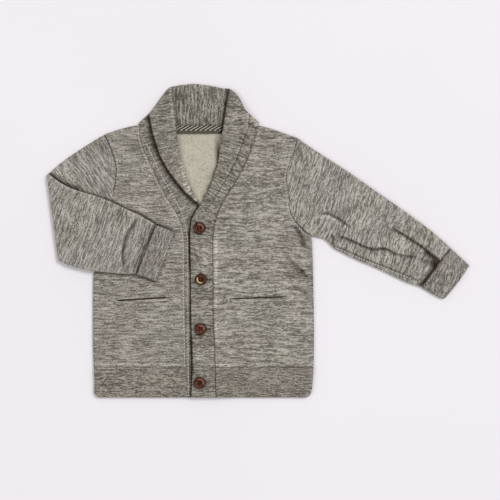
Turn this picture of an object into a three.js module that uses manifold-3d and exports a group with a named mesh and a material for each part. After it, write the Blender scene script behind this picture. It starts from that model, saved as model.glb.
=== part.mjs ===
// Baby cardigan with a shawl collar, laid flat on its back with one sleeve folded over the front.
// Millimetres. +X is the wearer's left, +Y runs up the body, +Z is up from the table.
// Places are measured from the middle of the laid-out garment. Left and right are the wearer's.
import * as THREE from "three";
import { mergeVertices } from "three/addons/utils/BufferGeometryUtils.js";
import Module from "manifold-3d";

// Cloth and seams
const CLOTH = 1.6; // one layer of terry
const BAND = 2.6; // a band, cut double and pressed
const SEAM = 0.3; // gap between two pieces at a seam
const RIM = 1.6; // how far in from its edge a piece rounds off
const RIM_DROP = 0.5; // how much lower a band is at its very edge; thinner cloth less

// Heights above the table
const SIDE_REST = CLOTH + SEAM; // underside of a front along the side seam and the shoulder
const BODY_REST = 3.4; // underside of a front away from its edges
const UNDER_BAND = BAND + SEAM; // underside of the button band
const TOP_BAND = UNDER_BAND + BAND + SEAM; // underside of the buttonhole band

// How far in from each edge a front climbs to its own height
const SIDE_CLIMB = 13;
const SHOULDER_CLIMB = 12;
const BAND_CLIMB = 30;

// Parts that each piece is cut into across its width
const ACROSS = {
  frontRight: 9,
  frontLeft: 10,
  hemBack: 12,
  hemRight: 7,
  hemLeft: 9,
  sleeve: 7,
  cuff: 4,
  welt: 8,
  tape: 8,
};

// A table: the names of its columns, then a row of values for each section
function table(columns, rows) {
  return rows.map((row) => Object.fromEntries(row.map((value, i) => [columns[i], value])));
}

// Hem band
const HEM_BOTTOM = -200.5;
const HEM_HIGH = 36;
const HEM_CORNERS = table(["up", "in"], [
  [0, 7],
  [2, 3.6],
  [6, 1.6],
  [14, 0.8],
  [26, 0.2],
]);

// Side seam and armhole from the hem seam up to the shoulder tip: place, and the front's underside there
const SIDE_COLUMNS = ["y", "x", "z"];
const SIDE_RIGHT = table(SIDE_COLUMNS, [
  [-201, -208.5, 1.9],
  [-165, -209.5, 1.9],
  [-127, -210.5, 1.9],
  [-76, -210.5, 1.9],
  [-31, -209.5, 1.9],
  [1.5, -206.5, 2.2],
  [11, -195.5, 3.1],
  [25, -189, 3.2],
  [48, -186, 3.3],
  [75, -183.5, 3.3],
  [100.5, -183.5, 3.2],
  [121, -189, 2.8],
  [135, -195.5, 1.9],
]);
const SIDE_LEFT = table(SIDE_COLUMNS, [
  [-201, 70, 1.9],
  [-161.5, 71.5, 1.9],
  [-127, 72, 1.9],
  [-76, 71.5, 1.9],
  [-31, 70.5, 1.9],
  [1.5, 69, 2.2],
  [12, 57.5, 3.1],
  [26, 51, 3.2],
  [49, 47.5, 3.3],
  [75, 45, 3.3],
  [98, 45, 3.2],
  [116, 47, 2.8],
  [131, 51, 1.9],
]);

// Front band and shawl collar, half by half, from the hem up to the centre-back seam.
// a: seam to the body. r: free edge below the neckline, roll line above it. f: free edge of the fall.
// az, rz: height of the face towards the neck. roll: 0 flat, 1 folded over. turn: 90 fall on top,
// -90 fall underneath. rise: share of the width over which the height goes from az to rz.
const COLLAR_COLUMNS = ["ax", "ay", "az", "rx", "ry", "rz", "fx", "fy", "roll", "turn", "rise"];
const COLLAR_RIGHT = table(COLLAR_COLUMNS, [
  [-90, -200.5, 2.9, -58.5, -200.5, 2.9, -58.5, -200.5, 0, 90, 1],
  [-91, -166, 2.9, -60, -166, 2.9, -60, -166, 0, 90, 1],
  [-92.5, -114.5, 2.9, -61, -114.5, 2.9, -61, -114.5, 0, 90, 1],
  [-93, -63.5, 2.9, -62, -63.5, 2.9, -62, -63.5, 0, 90, 1],
  [-93, -21, 2.9, -62, -21, 2.9, -62, -21, 0, 90, 1],
  [-93.5, 3, 2.9, -62.5, 3, 2.9, -62.5, 3, 0, 90, 1],
  [-97.5, 23, 2.7, -66, 24, 2.7, -66, 24, 0, 90, 1],
  [-105.5, 38.5, 2.4, -73.2, 42, 2.4, -73.2, 42, 0, 90, 1],
  [-113.5, 50, 2.3, -79, 55.5, 2.3, -87, 53, 1, 90, 1],
  [-121, 64.5, 2.2, -87.5, 72.5, 2.2, -99.5, 67, 1, 90, 1],
  [-129.5, 82.5, 2.2, -93, 88.5, 2.2, -111.5, 84.5, 1, 90, 1],
  [-138, 100, 2.2, -97, 103, 2.3, -122.5, 101.5, 1, 90, 1],
  [-145, 116.5, 2.2, -100.5, 118.5, 2.6, -129, 118, 1, 90, 1],
  [-149.5, 130.5, 2.2, -102.5, 132.5, 3.8, -133.5, 132.5, 1, 90, 1],
  [-151, 141.5, 2.2, -104, 148, 5.4, -136, 144.5, 1, 90, 0.9],
  [-151.5, 147, 2.4, -106.5, 169.5, 5.8, -137.5, 154, 1, 90, 0.4],
  [-150.8, 148, 2.5, -107.5, 181, 5.8, -137, 155.5, 1, 45, 0.3],
  [-150, 148.5, 2.5, -107, 187.5, 5.6, -136.5, 156, 1, 0, 0.3],
  [-148, 148, 2.6, -105.5, 192, 5.5, -135.5, 157, 1, -45, 0.3],
  [-144, 146.5, 2.6, -102, 195.5, 5.5, -132, 158, 1, -90, 0.3],
  [-136, 144, 2.6, -98, 197.5, 5.5, -125, 158.5, 1, -90, 0.3],
  [-122.5, 141.5, 2.6, -93, 199, 5.5, -113, 159.5, 1, -90, 0.3],
  [-99.5, 139.5, 2.6, -88, 200, 5.5, -96, 159.5, 1, -90, 0.3],
  [-78, 139.5, 2.6, -83.5, 200.5, 5.5, -80.5, 159.5, 1, -90, 0.3],
]);
const COLLAR_LEFT = table(COLLAR_COLUMNS, [
  [-53.5, -200.5, 5.8, -85, -200.5, 5.8, -85, -200.5, 0, 90, 1],
  [-54.5, -166, 5.8, -83.5, -166, 5.8, -83.5, -166, 0, 90, 1],
  [-56, -121, 5.8, -84.5, -121, 5.8, -84.5, -121, 0, 90, 1],
  [-57.5, -76, 5.8, -85.5, -76, 5.8, -85.5, -76, 0, 90, 1],
  [-57.5, -27.5, 5.8, -85.5, -27.5, 5.8, -85.5, -27.5, 0, 90, 1],
  [-57.5, 0.5, 5.8, -86.5, 2, 5.8, -86.5, 2, 0, 90, 1],
  [-55, 21, 5.7, -85.5, 22, 5.8, -85.5, 22, 0, 90, 1],
  [-51, 35, 5, -81.5, 33.5, 5.7, -81.5, 33.5, 0, 90, 1],
  [-45, 47.5, 4, -73.2, 45.8, 5.5, -66, 45.5, 0.8, 90, 1],
  [-37.5, 61, 3, -65, 62.5, 4, -51.5, 61.5, 1, 90, 1],
  [-29, 75.5, 2.3, -59, 77.5, 2.8, -41.5, 76, 1, 90, 1],
  [-19.5, 91, 2.2, -54, 93, 2.2, -32.5, 92, 1, 90, 1],
  [-11.5, 106, 2.2, -50.5, 107, 2.3, -26, 107, 1, 90, 1],
  [-6, 122, 2.2, -47.5, 121, 2.8, -20.5, 122, 1, 90, 1],
  [-1.5, 135.5, 2.2, -46, 136.5, 4.4, -15.8, 136.5, 1, 90, 1],
  [0.5, 144.5, 2.2, -44.5, 149, 5.4, -12.5, 146.5, 1, 90, 0.9],
  [1, 147.5, 2.4, -42, 169.5, 5.8, -11.5, 155, 1, 90, 0.4],
  [0.5, 148.5, 2.5, -40.5, 181, 5.8, -12.5, 156, 1, 45, 0.3],
  [-0.5, 149, 2.5, -41, 187.5, 5.6, -13.5, 156.5, 1, 0, 0.3],
  [-2.5, 148.5, 2.6, -43, 192, 5.5, -14.5, 157.5, 1, -45, 0.3],
  [-6.5, 147, 2.6, -46.5, 194.5, 5.5, -18, 158.5, 1, -90, 0.3],
  [-14.5, 144.5, 2.6, -51, 196, 5.5, -24.5, 159, 1, -90, 0.3],
  [-28, 142, 2.6, -59, 197.5, 5.5, -37, 159.5, 1, -90, 0.3],
  [-51, 140, 2.6, -71, 199.5, 5.5, -58, 159.5, 1, -90, 0.3],
  [-78, 139.5, 2.6, -83.5, 200.5, 5.5, -80.5, 159.5, 1, -90, 0.3],
]);
const FLAT_ROWS = 5; // rows at the foot of each collar table where the band is straight

// Each row of a front: how far up its side edge and up its band seam the row ends
const FRONT_ROWS = table(["sideRight", "bandRight", "sideLeft", "bandLeft"], [
  [-165, -163, -161.5, -162],
  [-138, -138, -138, -138],
  [-110, -110, -110, -110],
  [-82, -82, -82, -82],
  [-54, -54, -54, -54],
  [-26, -26, -26, -26],
  [1.5, 3, 1.5, 2],
  [11, 18, 12, 18],
  [26, 34, 26, 34],
  [48, 54, 48, 55],
  [74, 78, 73, 79],
  [99, 102, 97, 103],
  [121, 126, 117, 127],
  [135, 147, 131, 147],
]);

// Upper edge of the back: shoulder tip, shoulder and neck point of each side, with the neck between them
function neckOf(sections) {
  const underneath = sections.filter((row) => row.turn === -90);
  return underneath.map((row) => ({ x: row.ax, y: row.ay }));
}
const BACK_TOP = [
  { x: -195.5, y: 135 },
  { x: -175, y: 142.5 },
  { x: -151.5, y: 148.5 },
  ...neckOf(COLLAR_RIGHT),
  ...neckOf(COLLAR_LEFT).toReversed().slice(1),
  { x: 1, y: 148.5 },
  { x: 24.5, y: 141.5 },
  { x: 51, y: 131 },
];
const BACK_TOP_GAP = 0.45; // from the collar, measured up the body
const BACK_CURVE_FROM = 60; // height from which the back's rows take on the curve of its upper edge
const BACK_CURVE_OVER = 75;

// Rows close in from a piece's two ends, as a share of a row's own height
const END_ROW = 0.12;

// Sleeves, station by station from the armhole: t the shoulder edge, b the underarm edge, z the height of
// the side that a fold would close on, high the flattened tube, bow how much of the armhole's curve is left
const TUBE_COLUMNS = ["tx", "ty", "bx", "by", "z", "high", "turn", "bow"];
const SLEEVE_LEFT = table(TUBE_COLUMNS, [
  [51, 131, 69, 1.5, 0, 5, 90, 1],
  [67, 119.5, 80, -3, 0, 5.2, 90, 0.75],
  [92.5, 103, 97, -10, 0, 5.4, 90, 0.35],
  [118, 86.5, 115, -19.5, 0, 5.4, 90, 0.1],
  [143.5, 68.5, 134, -28, 0, 5.4, 90, 0],
  [169.5, 50.5, 153, -36, 0, 5.4, 90, 0],
  [195, 32.5, 172, -45, 0, 5.6, 90, 0],
  [220.5, 13.5, 191, -54, 0, 6, 90, 0],
  [246.5, -9, 208.5, -59.5, 0, 6.4, 90, 0],
]);
const SLEEVE_RIGHT = table(TUBE_COLUMNS, [
  [-195.5, 135, -206.5, 1.5, 5, 5, -90, 1],
  [-208, 128.5, -213, -2.5, 5, 5, -90, 0.8],
  [-221, 120.5, -221, -7.5, 5, 5, -90, 0.5],
  [-235, 111.5, -229.5, -13, 4.9, 4.9, -90, 0.2],
  [-249.5, 101.5, -239.5, -19, 4.8, 4.8, -90, 0],
  [-260, 92.5, -247, -24, 4.6, 4.6, -90, 0],
  [-264.5, 88, -250, -25.5, 4.6, 4.6, -90, 0],
  [-265.3, 86.5, -250.5, -26, 4.7, 4.6, -45, 0],
  [-265.5, 85.5, -250.7, -26.3, 4.9, 4.6, 0, 0],
  [-265.3, 84.5, -250.5, -26.6, 5.1, 4.6, 45, 0],
  [-264.5, 83, -250, -27.2, 5.2, 4.6, 90, 0],
  [-257.5, 77.5, -243.5, -31.5, 5.3, 4.8, 90, 0],
  [-244, 69, -229.5, -35.2, 5.7, 5, 90, 0],
  [-228, 62.8, -214, -39, 6.2, 5, 90, 0],
  [-208, 57.5, -200, -40.5, 6.5, 5, 90, 0],
  [-187.5, 50, -186, -41.8, 6.5, 5, 90, 0],
  [-167.5, 40, -174, -43.2, 6.5, 5.2, 90, 0],
  [-149, 32, -164, -43.8, 6.5, 5.6, 90, 0],
  [-130, 20.5, -155.5, -43, 6.5, 6.2, 90, 0],
]);

// Cuffs, from the sleeve seam to the open end
const CUFF_LEFT = table(TUBE_COLUMNS, [
  [246.8, -10, 209, -60, 0, 5.8, 90, 0],
  [258.5, -20.5, 222, -68, 0, 5.8, 90, 0],
  [268, -29.5, 233.5, -74.2, 0, 5.8, 90, 0],
  [270.5, -32, 237.5, -74.5, 0, 5.8, 90, 0],
]);
const CUFF_RIGHT = table(TUBE_COLUMNS, [
  [-129.5, 20, -154.8, -43.8, 6.5, 5.8, 90, 0],
  [-118, 15.8, -143, -47.5, 6.5, 5.8, 90, 0],
  [-109, 12, -132.5, -51.5, 6.5, 5.8, 90, 0],
  [-106.5, 11, -130, -52.5, 6.5, 5.8, 90, 0],
]);

// How far from an edge a fold fades out
const HEM_FADE = 20;
const TUBE_FADE = 12;

// Largest folds: a ridge (or a trough, where high is negative) along a line, wide to each side of it
const FOLD_COLUMNS = ["x1", "y1", "x2", "y2", "wide", "high"];
const FRONT_FOLDS = table(FOLD_COLUMNS, [
  [50, 8, 66, -12, 9, 1],
  [38, -16, 64, -42, 10, 1.1],
  [40, -54, 60, -63, 9, 0.6],
  [-180, 62, -150, 40, 12, 0.6],
  [-20, 70, 30, 84, 14, 0.5],
  [-190, -110, -120, -100, 16, 0.5],
  [-30, -118, 50, -104, 16, 0.5],
]);
const SLEEVE_LEFT_FOLDS = table(FOLD_COLUMNS, [
  [176, 18, 238, -20, 10, 1.9],
  [186, -3, 232, -34, 9, -1],
  [79, 36, 118, 17, 9, 0.9],
  [101, 9, 195, -18, 11, 1],
  [70, 60, 110, 70, 14, 0.6],
]);
const SLEEVE_RIGHT_FOLDS = table(FOLD_COLUMNS, [
  [-150, 30, -168, 4, 9, 1],
  [-168, 4, -170, -38, 9, 1],
  [-258, 88, -226, 70, 8, 0.8],
  [-245, 40, -215, 10, 14, 0.5],
]);

// Pocket welts: ends of the slit that each welt closes from below
const WELT_WIDE = 5;
const WELT_THICK = 1.2;
const WELT_RIM = 0.8;
const WELTS = [
  { name: "pocket_welt_right", x1: -182.5, y1: -77, x2: -111, y2: -72.5 },
  { name: "pocket_welt_left", x1: -33.5, y1: -74.5, x2: 36, y2: -72 },
];

// Tape over the back neck seam
const TAPE_THICK = 1;
const TAPE = { x1: -106, x2: -43.5, low: 136.5, high: 147 };
const TAPE_SHARES = [0, 0.25, 0.45, 0.7, 1];
const TAPE_STEP = { below: 4, long: 3, lead: 0.5 }; // where it climbs from the back onto the stand

// Buttons, from the neckline down
const DRILL_SIDES = 8;
const BUTTON = { thick: 3, hole: 0.9, apart: 1.7, sides: 20 };
const BUTTON_PROFILE = table(["out", "up"], [
  [0, 0],
  [6.1, 0],
  [7.1, 0.5],
  [7.5, 1.4],
  [7.2, 2.5],
  [6.5, 3],
  [5.5, 2.7],
  [4.8, 2.1],
  [0, 1.9],
]);
const BUTTONS = [
  { x: -74.5, y: 16 },
  { x: -72.5, y: -49.5 },
  { x: -73, y: -113 },
  { x: -74, y: -181.5 },
];

// Finish
const terry = (color) => new THREE.MeshStandardMaterial({ color, roughness: 0.95, metalness: 0 });
const TERRY = 0x8d887f;
const TERRY_DARK = 0x837a72;
const TERRY_SLEEVE = 0x908e85;
const TAPE_COLOUR = 0x69645b;
const BUTTON_COLOUR = 0x563226;

// Numbers
const mix = (a, b, t) => a + (b - a) * t;
const clamp = (v, low, high) => Math.min(high, Math.max(low, v));

// 0 to 1 with a soft start and end
function ease(t) {
  const c = clamp(t, 0, 1);
  return c * c * (3 - 2 * c);
}

// 0 to 1, steep at first, as a round edge climbs
function round(t) {
  const c = 1 - clamp(t, 0, 1);
  return Math.sqrt(1 - c * c);
}

// Slope at a row of a table, from the steps before and after it, without overshoot
function slope(before, after) {
  return before * after > 0 ? (2 * before * after) / (before + after) : 0;
}

// A row of a table at a place between its rows, every column on a smooth curve
function rowAt(rows, place) {
  const i = Math.min(rows.length - 2, Math.floor(place));
  const t = place - i;
  const row = {};
  for (const key of Object.keys(rows[i])) {
    const value = (k) => rows[clamp(k, 0, rows.length - 1)][key];
    const step = value(i + 1) - value(i);
    const before = i > 0 ? value(i) - value(i - 1) : step;
    const after = i < rows.length - 2 ? value(i + 2) - value(i + 1) : step;
    const start = slope(before, step);
    const end = slope(step, after);
    const curve = 3 * step - 2 * start - end;
    row[key] = value(i) + t * (start + t * (curve + t * (start + end - 2 * step)));
  }
  return row;
}

// A table with each gap from row first on cut into steps
function refine(rows, steps, first = 0) {
  const fine = rows.slice(0, first);
  for (let i = first; i < rows.length - 1; i++) {
    for (let k = 0; k < steps; k++) fine.push(rowAt(rows, i + k / steps));
  }
  fine.push(rows.at(-1));
  return fine;
}

// One column of a table where another column has a given value
function lookup(rows, key, value, column) {
  let i = 0;
  while (i < rows.length - 2 && rows[i + 1][key] < value) i++;
  const t = (value - rows[i][key]) / (rows[i + 1][key] - rows[i][key]);
  return mix(rows[i][column], rows[i + 1][column], clamp(t, 0, 1));
}

// Distances across a piece: one close in from each edge, the rest even
function spread(width, count, rim = RIM) {
  const places = [0];
  for (let i = 0; i <= count; i++) places.push(mix(rim, width - rim, i / count));
  places.push(width);
  return places;
}

// How high a set of folds lifts the cloth at a place
function lift(folds, x, y) {
  let total = 0;
  for (const fold of folds) {
    const dx = fold.x2 - fold.x1;
    const dy = fold.y2 - fold.y1;
    const along = clamp(((x - fold.x1) * dx + (y - fold.y1) * dy) / (dx * dx + dy * dy), 0, 1);
    const away = Math.hypot(x - fold.x1 - along * dx, y - fold.y1 - along * dy) / fold.wide;
    if (away < 1) total += fold.high * (1 - away * away) ** 2;
  }
  return total;
}

// A closed skin over shared corners. Faces that have closed up to nothing are left out.
class Skin {
  constructor() {
    this.positions = [];
    this.index = [];
    this.known = new Map();
  }

  corner(p) {
    const key = [p.x, p.y, p.z].map((v) => Math.round(v * 1000)).join();
    if (!this.known.has(key)) {
      this.known.set(key, this.known.size);
      this.positions.push(p.x, p.y, p.z);
    }
    return this.known.get(key);
  }

  face(a, b, c) {
    if (a !== b && b !== c && a !== c) this.index.push(a, b, c);
  }

  quad(a, b, c, d) {
    this.face(a, b, c);
    this.face(a, c, d);
  }

  // Joins two open or closed rows of corners
  strip(one, two, closed) {
    const last = closed ? one.length : one.length - 1;
    for (let i = 0; i < last; i++) {
      const next = (i + 1) % one.length;
      this.quad(one[i], one[next], two[next], two[i]);
    }
  }

  geometry() {
    const p = (i) => new THREE.Vector3().fromArray(this.positions, 3 * i);
    let volume = 0;
    for (let i = 0; i < this.index.length; i += 3) {
      const [a, b, c] = this.index.slice(i, i + 3).map(p);
      volume += a.dot(b.cross(c));
    }
    const index = volume < 0 ? this.index.toReversed() : this.index;
    const made = new THREE.BufferGeometry();
    made.setAttribute("position", new THREE.Float32BufferAttribute(this.positions, 3));
    made.setIndex(index);
    return made;
  }
}

// A layer of cloth over a grid of places on its underside, a little lower along its edges
function layer(grid, thick) {
  const skin = new Skin();
  const rows = grid.length;
  const columns = grid[0].length;
  const onEdge = (i, j) => i === 0 || j === 0 || i === rows - 1 || j === columns - 1;
  const under = grid.map((row) => row.map((p) => skin.corner(p)));
  const over = grid.map((row, i) =>
    row.map((p, j) => {
      const height = thick - (onEdge(i, j) ? RIM_DROP * (thick / BAND) : 0);
      return skin.corner(new THREE.Vector3(p.x, p.y, p.z + height));
    }),
  );
  for (let i = 0; i < rows - 1; i++) {
    skin.strip(over[i], over[i + 1], false);
    skin.strip(under[i + 1], under[i], false);
  }
  const border = (level) => [
    ...level[0],
    ...level.slice(1, -1).map((row) => row.at(-1)),
    ...level.at(-1).toReversed(),
    ...level.slice(1, -1).map((row) => row[0]).toReversed(),
  ];
  skin.strip(border(under), border(over), true);
  return skin.geometry();
}

// The table's rows with one more row close in from each end
function withRims(rows, rim) {
  const last = rows.length - 1;
  return [rows[0], rowAt(rows, rim), ...rows.slice(1, last), rowAt(rows, last - rim), rows[last]];
}

// Body: which side, and where its edges run
const bodyRight = { side: refine(SIDE_RIGHT, 3), band: refine(COLLAR_RIGHT, 2), inward: 1 };
const bodyLeft = { side: refine(SIDE_LEFT, 3), band: refine(COLLAR_LEFT, 2), inward: -1 };

// Seam edge of a collar half by height, up to the shoulder point
const seamRows = (half) => half.band.filter((row, i) => i === 0 || row.ay > half.band[i - 1].ay);
bodyRight.seam = seamRows(bodyRight);
bodyLeft.seam = seamRows(bodyLeft);

const sideX = (half, y) => lookup(half.side, "y", y, "x");
const bandX = (half, y) => lookup(half.seam, "ay", y, "ax");
const bandZ = (half, y) => lookup(half.seam, "ay", y, "az");

// Sideways gap that leaves a seam's width between two pieces where the band seam slants
function bandGap(half, y) {
  const reach = 3;
  const slant = (bandX(half, y + reach) - bandX(half, y - reach)) / (2 * reach);
  return half.inward * SEAM * (Math.hypot(1, slant) + SEAM);
}

// Underside of a front: low at the side seam and shoulder, at band height by the band, folds between
function frontUnder(half, x, y) {
  const fromSide = Math.abs(x - sideX(half, y));
  const fromBand = Math.abs(x - bandX(half, y));
  const fromShoulder = lookup(BACK_TOP, "x", x, "y") - y;
  const edge = lookup(half.side, "y", y, "z");
  const hemmed = ease((y - HEM_BOTTOM - HEM_HIGH) / HEM_FADE);
  let z = mix(edge, BODY_REST + hemmed * lift(FRONT_FOLDS, x, y), round(fromSide / SIDE_CLIMB));
  z = mix(bandZ(half, y) + SEAM, z, ease(fromBand / BAND_CLIMB));
  return mix(SIDE_REST, z, round(fromShoulder / SHOULDER_CLIMB));
}

// Front: panel between the side edge and the band seam
function front(half, sideKey, bandKey, columns) {
  const grid = withRims(refine(FRONT_ROWS, 2), END_ROW).map((row) => {
    const yOuter = row[sideKey];
    const yInner = row[bandKey];
    const outer = new THREE.Vector2(sideX(half, yOuter) + (half.inward * SEAM) / 2, yOuter);
    const inner = new THREE.Vector2(bandX(half, yInner) - bandGap(half, yInner), yInner);
    const width = outer.distanceTo(inner);
    return spread(width, columns).map((d) => {
      const p = outer.clone().lerp(inner, d / width);
      return new THREE.Vector3(p.x, p.y, frontUnder(half, p.x, p.y));
    });
  });
  return layer(grid, CLOTH);
}

// Back: one flat panel, its rows following the armholes and, at the top, the shoulders and the neck
function back() {
  const upper = BACK_TOP;
  const width = upper.at(-1).x - upper[0].x;
  const shares = upper.map((p) => (p.x - upper[0].x) / width);
  const rim = RIM / width;
  const across = [0, rim, ...shares.slice(1, -1), 1 - rim, 1];
  const rows = refine(FRONT_ROWS, 2).slice(0, -1);
  const grid = rows.map((row) => {
    const right = new THREE.Vector2(sideX(bodyRight, row.sideRight) + SEAM / 2, row.sideRight);
    const left = new THREE.Vector2(sideX(bodyLeft, row.sideLeft) - SEAM / 2, row.sideLeft);
    const climb = ease((row.sideRight - BACK_CURVE_FROM) / BACK_CURVE_OVER);
    return across.map((share) => {
      const p = right.clone().lerp(left, share);
      const x = mix(upper[0].x, upper.at(-1).x, share);
      const chord = mix(upper[0].y, upper.at(-1).y, share);
      p.y += climb * (lookup(upper, "x", x, "y") - chord);
      return new THREE.Vector3(p.x, p.y, 0);
    });
  });
  const last = across.map((share) => {
    const x = mix(upper[0].x + SEAM / 2, upper.at(-1).x - SEAM / 2, share);
    return new THREE.Vector3(x, lookup(upper, "x", x, "y") - BACK_TOP_GAP, 0);
  });
  return layer([...grid, last], CLOTH);
}

// Hem band between two upright edges, from its rounded bottom corners up to the hem seam
function hem(edges, tops, under, columns, corners) {
  const levels = HEM_CORNERS.map(({ up, in: inset }) => ({
    yRight: HEM_BOTTOM + up,
    yLeft: HEM_BOTTOM + up,
    inset,
  }));
  levels.push({ yRight: tops.right - SEAM, yLeft: tops.left - SEAM, inset: 0 });
  const grid = levels.map(({ yRight, yLeft, inset }) => {
    const start = new THREE.Vector2(edges.right(yRight) + inset * corners.right, yRight);
    const end = new THREE.Vector2(edges.left(yLeft) - inset * corners.left, yLeft);
    const width = start.distanceTo(end);
    return spread(width, columns).map((d) => {
      const p = start.clone().lerp(end, d / width);
      return new THREE.Vector3(p.x, p.y, under(p.x, p.y));
    });
  });
  return layer(grid, BAND);
}

// Collar ring points: shares of the stand from the body seam, and of the fall from the roll line
const STAND_SHARES = [0, 0.1, 0.3, 0.6, 1];
const FALL_SHARES = [0, 0.5, 0.94];
const NOSE_STEPS = 4;

// One ring round the folded band: stand, roll, fall and the slit between them
function collarRing(row, outward) {
  const seam = new THREE.Vector3(row.ax, row.ay, 0);
  const roll = new THREE.Vector3(row.rx, row.ry, 0);
  const across = roll.clone().sub(seam).normalize();
  const aside = new THREE.Vector3(-across.y, across.x, 0).multiplyScalar(outward);
  const turn = THREE.MathUtils.degToRad(clamp(row.turn, -90, 90));
  const over = aside.multiplyScalar(Math.cos(turn)).add(new THREE.Vector3(0, 0, Math.sin(turn)));
  const folded = clamp(row.roll, 0, 1);
  const slit = BAND + folded * SEAM;
  const total = slit + folded * BAND;
  const bend = roll.clone().addScaledVector(across, -total / 2);
  const width = bend.distanceTo(seam);
  const height = (share) => mix(row.az, row.rz, ease(share / row.rise));
  const stand = (share, offset) => {
    const p = seam.clone().lerp(bend, share);
    p.z = height(share);
    return p.addScaledVector(over, offset);
  };
  const edge = folded > 0 ? new THREE.Vector3(row.fx, row.fy, 0) : bend.clone();
  const fallWidth = edge.distanceTo(bend);
  const fall = (share, offset) => {
    const p = bend.clone().lerp(edge, share);
    p.z = height(1 - (share * fallWidth) / width);
    return p.addScaledVector(over, offset);
  };
  const ring = STAND_SHARES.map((share) => stand(share, share === 0 ? RIM_DROP / 2 : 0));
  const centre = stand(1, total / 2);
  for (let i = 1; i < NOSE_STEPS; i++) {
    const angle = (Math.PI * i) / NOSE_STEPS;
    const p = centre.clone().addScaledVector(over, (-Math.cos(angle) * total) / 2);
    ring.push(p.addScaledVector(across, (Math.sin(angle) * total) / 2));
  }
  for (const share of FALL_SHARES) ring.push(fall(share, total));
  ring.push(fall(1, (total + slit) / 2));
  for (const share of FALL_SHARES.toReversed()) ring.push(fall(share, slit));
  for (const share of STAND_SHARES.toReversed()) {
    ring.push(stand(share, share === 0 ? BAND - RIM_DROP / 2 : BAND));
  }
  return { points: ring, across, over };
}

// Closes one end of a collar half. The faces run round the ring's way, or against it.
function capRing(skin, ring, corners, againstRing) {
  const count = corners.length;
  const kept = corners.map((_, i) => i).filter((i) => corners[i] !== corners[(i + 1) % count]);
  const flat = kept.map((i) => {
    const p = ring.points[i];
    return new THREE.Vector2(p.dot(ring.across), p.dot(ring.over));
  });
  const ringWay = THREE.ShapeUtils.isClockWise(flat);
  for (const triangle of THREE.ShapeUtils.triangulateShape(flat, [])) {
    const sameWay = THREE.ShapeUtils.isClockWise(triangle.map((i) => flat[i])) === ringWay;
    const [a, b, c] = triangle.map((i) => corners[kept[i]]);
    if (sameWay === againstRing) skin.face(a, c, b);
    else skin.face(a, b, c);
  }
}

// Half of the front band and shawl collar
function collar(sections, outward, shift) {
  const rows = refine(sections, 2, FLAT_ROWS);
  const last = rows.length - 1;
  const end = { ...rows[last] };
  for (const key of ["ax", "rx", "fx"]) end[key] += shift;
  rows[last] = end;
  const skin = new Skin();
  const rings = rows.map((row) => collarRing(row, outward));
  const corners = rings.map((ring) => ring.points.map((p) => skin.corner(p)));
  for (let i = 0; i < last; i++) skin.strip(corners[i], corners[i + 1], true);
  capRing(skin, rings[0], corners[0], true);
  capRing(skin, rings[last], corners[last], false);
  return skin.geometry();
}

// Flattened sleeve tube: an outer ring and an inner ring at each station, both ends open
const TUBE_SHARES = [0, 0.15, 0.5];

// Places across a flattened tube: close together where it turns at its two edges
function tubeSpread(width, high, count) {
  const rim = TUBE_SHARES.map((share) => share * high);
  const middle = [];
  for (let i = 1; i < count; i++) middle.push(mix(rim.at(-1), width - rim.at(-1), i / count));
  return [...rim, ...middle, ...rim.map((d) => width - d).toReversed()];
}

function tubeRing(row, inset, count, armhole, folds) {
  const top = new THREE.Vector3(row.tx, row.ty, 0);
  const bottom = new THREE.Vector3(row.bx, row.by, 0);
  const down = bottom.clone().sub(top).normalize();
  const aside = new THREE.Vector3(down.y, -down.x, 0);
  const turn = THREE.MathUtils.degToRad(clamp(row.turn, -90, 90));
  const over = aside.multiplyScalar(Math.cos(turn)).add(new THREE.Vector3(0, 0, Math.sin(turn)));
  const width = top.distanceTo(bottom);
  const high = row.high - 2 * inset;
  const place = (d, side) => {
    const share = (inset + d) / width;
    const p = top.clone().lerp(bottom, share);
    if (row.bow > 0) p.add(armhole(share).multiplyScalar(row.bow));
    const across = Math.min(d, width - 2 * inset - d);
    const half = (high / 2) * round(across / (high / 2));
    p.z = row.z;
    p.addScaledVector(over, row.high / 2 + side * half);
    const upper = Math.max(0, side * over.z);
    p.z += lift(folds, p.x, p.y) * ease(across / TUBE_FADE) * upper;
    return p;
  };
  const places = tubeSpread(width - 2 * inset, high, count);
  const one = places.map((d) => place(d, 1));
  const two = places.slice(1, -1).map((d) => place(d, -1)).toReversed();
  return [...one, ...two];
}

function tube(stations, wall, count, armhole, folds) {
  const skin = new Skin();
  const rings = (inset) =>
    stations.map((row) => tubeRing(row, inset, count, armhole, folds).map((p) => skin.corner(p)));
  const outer = rings(0);
  const inner = rings(wall);
  for (let i = 0; i < stations.length - 1; i++) {
    skin.strip(outer[i], outer[i + 1], true);
    skin.strip(inner[i + 1], inner[i], true);
  }
  skin.strip(inner[0], outer[0], true);
  skin.strip(outer.at(-1), inner.at(-1), true);
  return skin.geometry();
}

// How far the armhole curve lies from the straight line between shoulder tip and armpit
function armholeBow(half, row) {
  return (share) => {
    const y = mix(row.ty, row.by, share);
    return new THREE.Vector3(sideX(half, y) - mix(row.tx, row.bx, share) - (half.inward * SEAM) / 2, 0, 0);
  };
}

// Welt: a folded strip lying on the front, its upper edge along the slit
function welt(half, slit) {
  const along = new THREE.Vector2(slit.x2 - slit.x1, slit.y2 - slit.y1);
  const length = along.length();
  along.normalize();
  const down = new THREE.Vector2(along.y, -along.x);
  const grid = spread(WELT_WIDE, 1, WELT_RIM).map((drop) =>
    spread(length, ACROSS.welt, WELT_RIM).map((d) => {
      const x = slit.x1 + along.x * d + down.x * drop;
      const y = slit.y1 + along.y * d + down.y * drop;
      return new THREE.Vector3(x, y, frontUnder(half, x, y) + CLOTH + SEAM);
    }),
  );
  return layer(grid, WELT_THICK);
}

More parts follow.
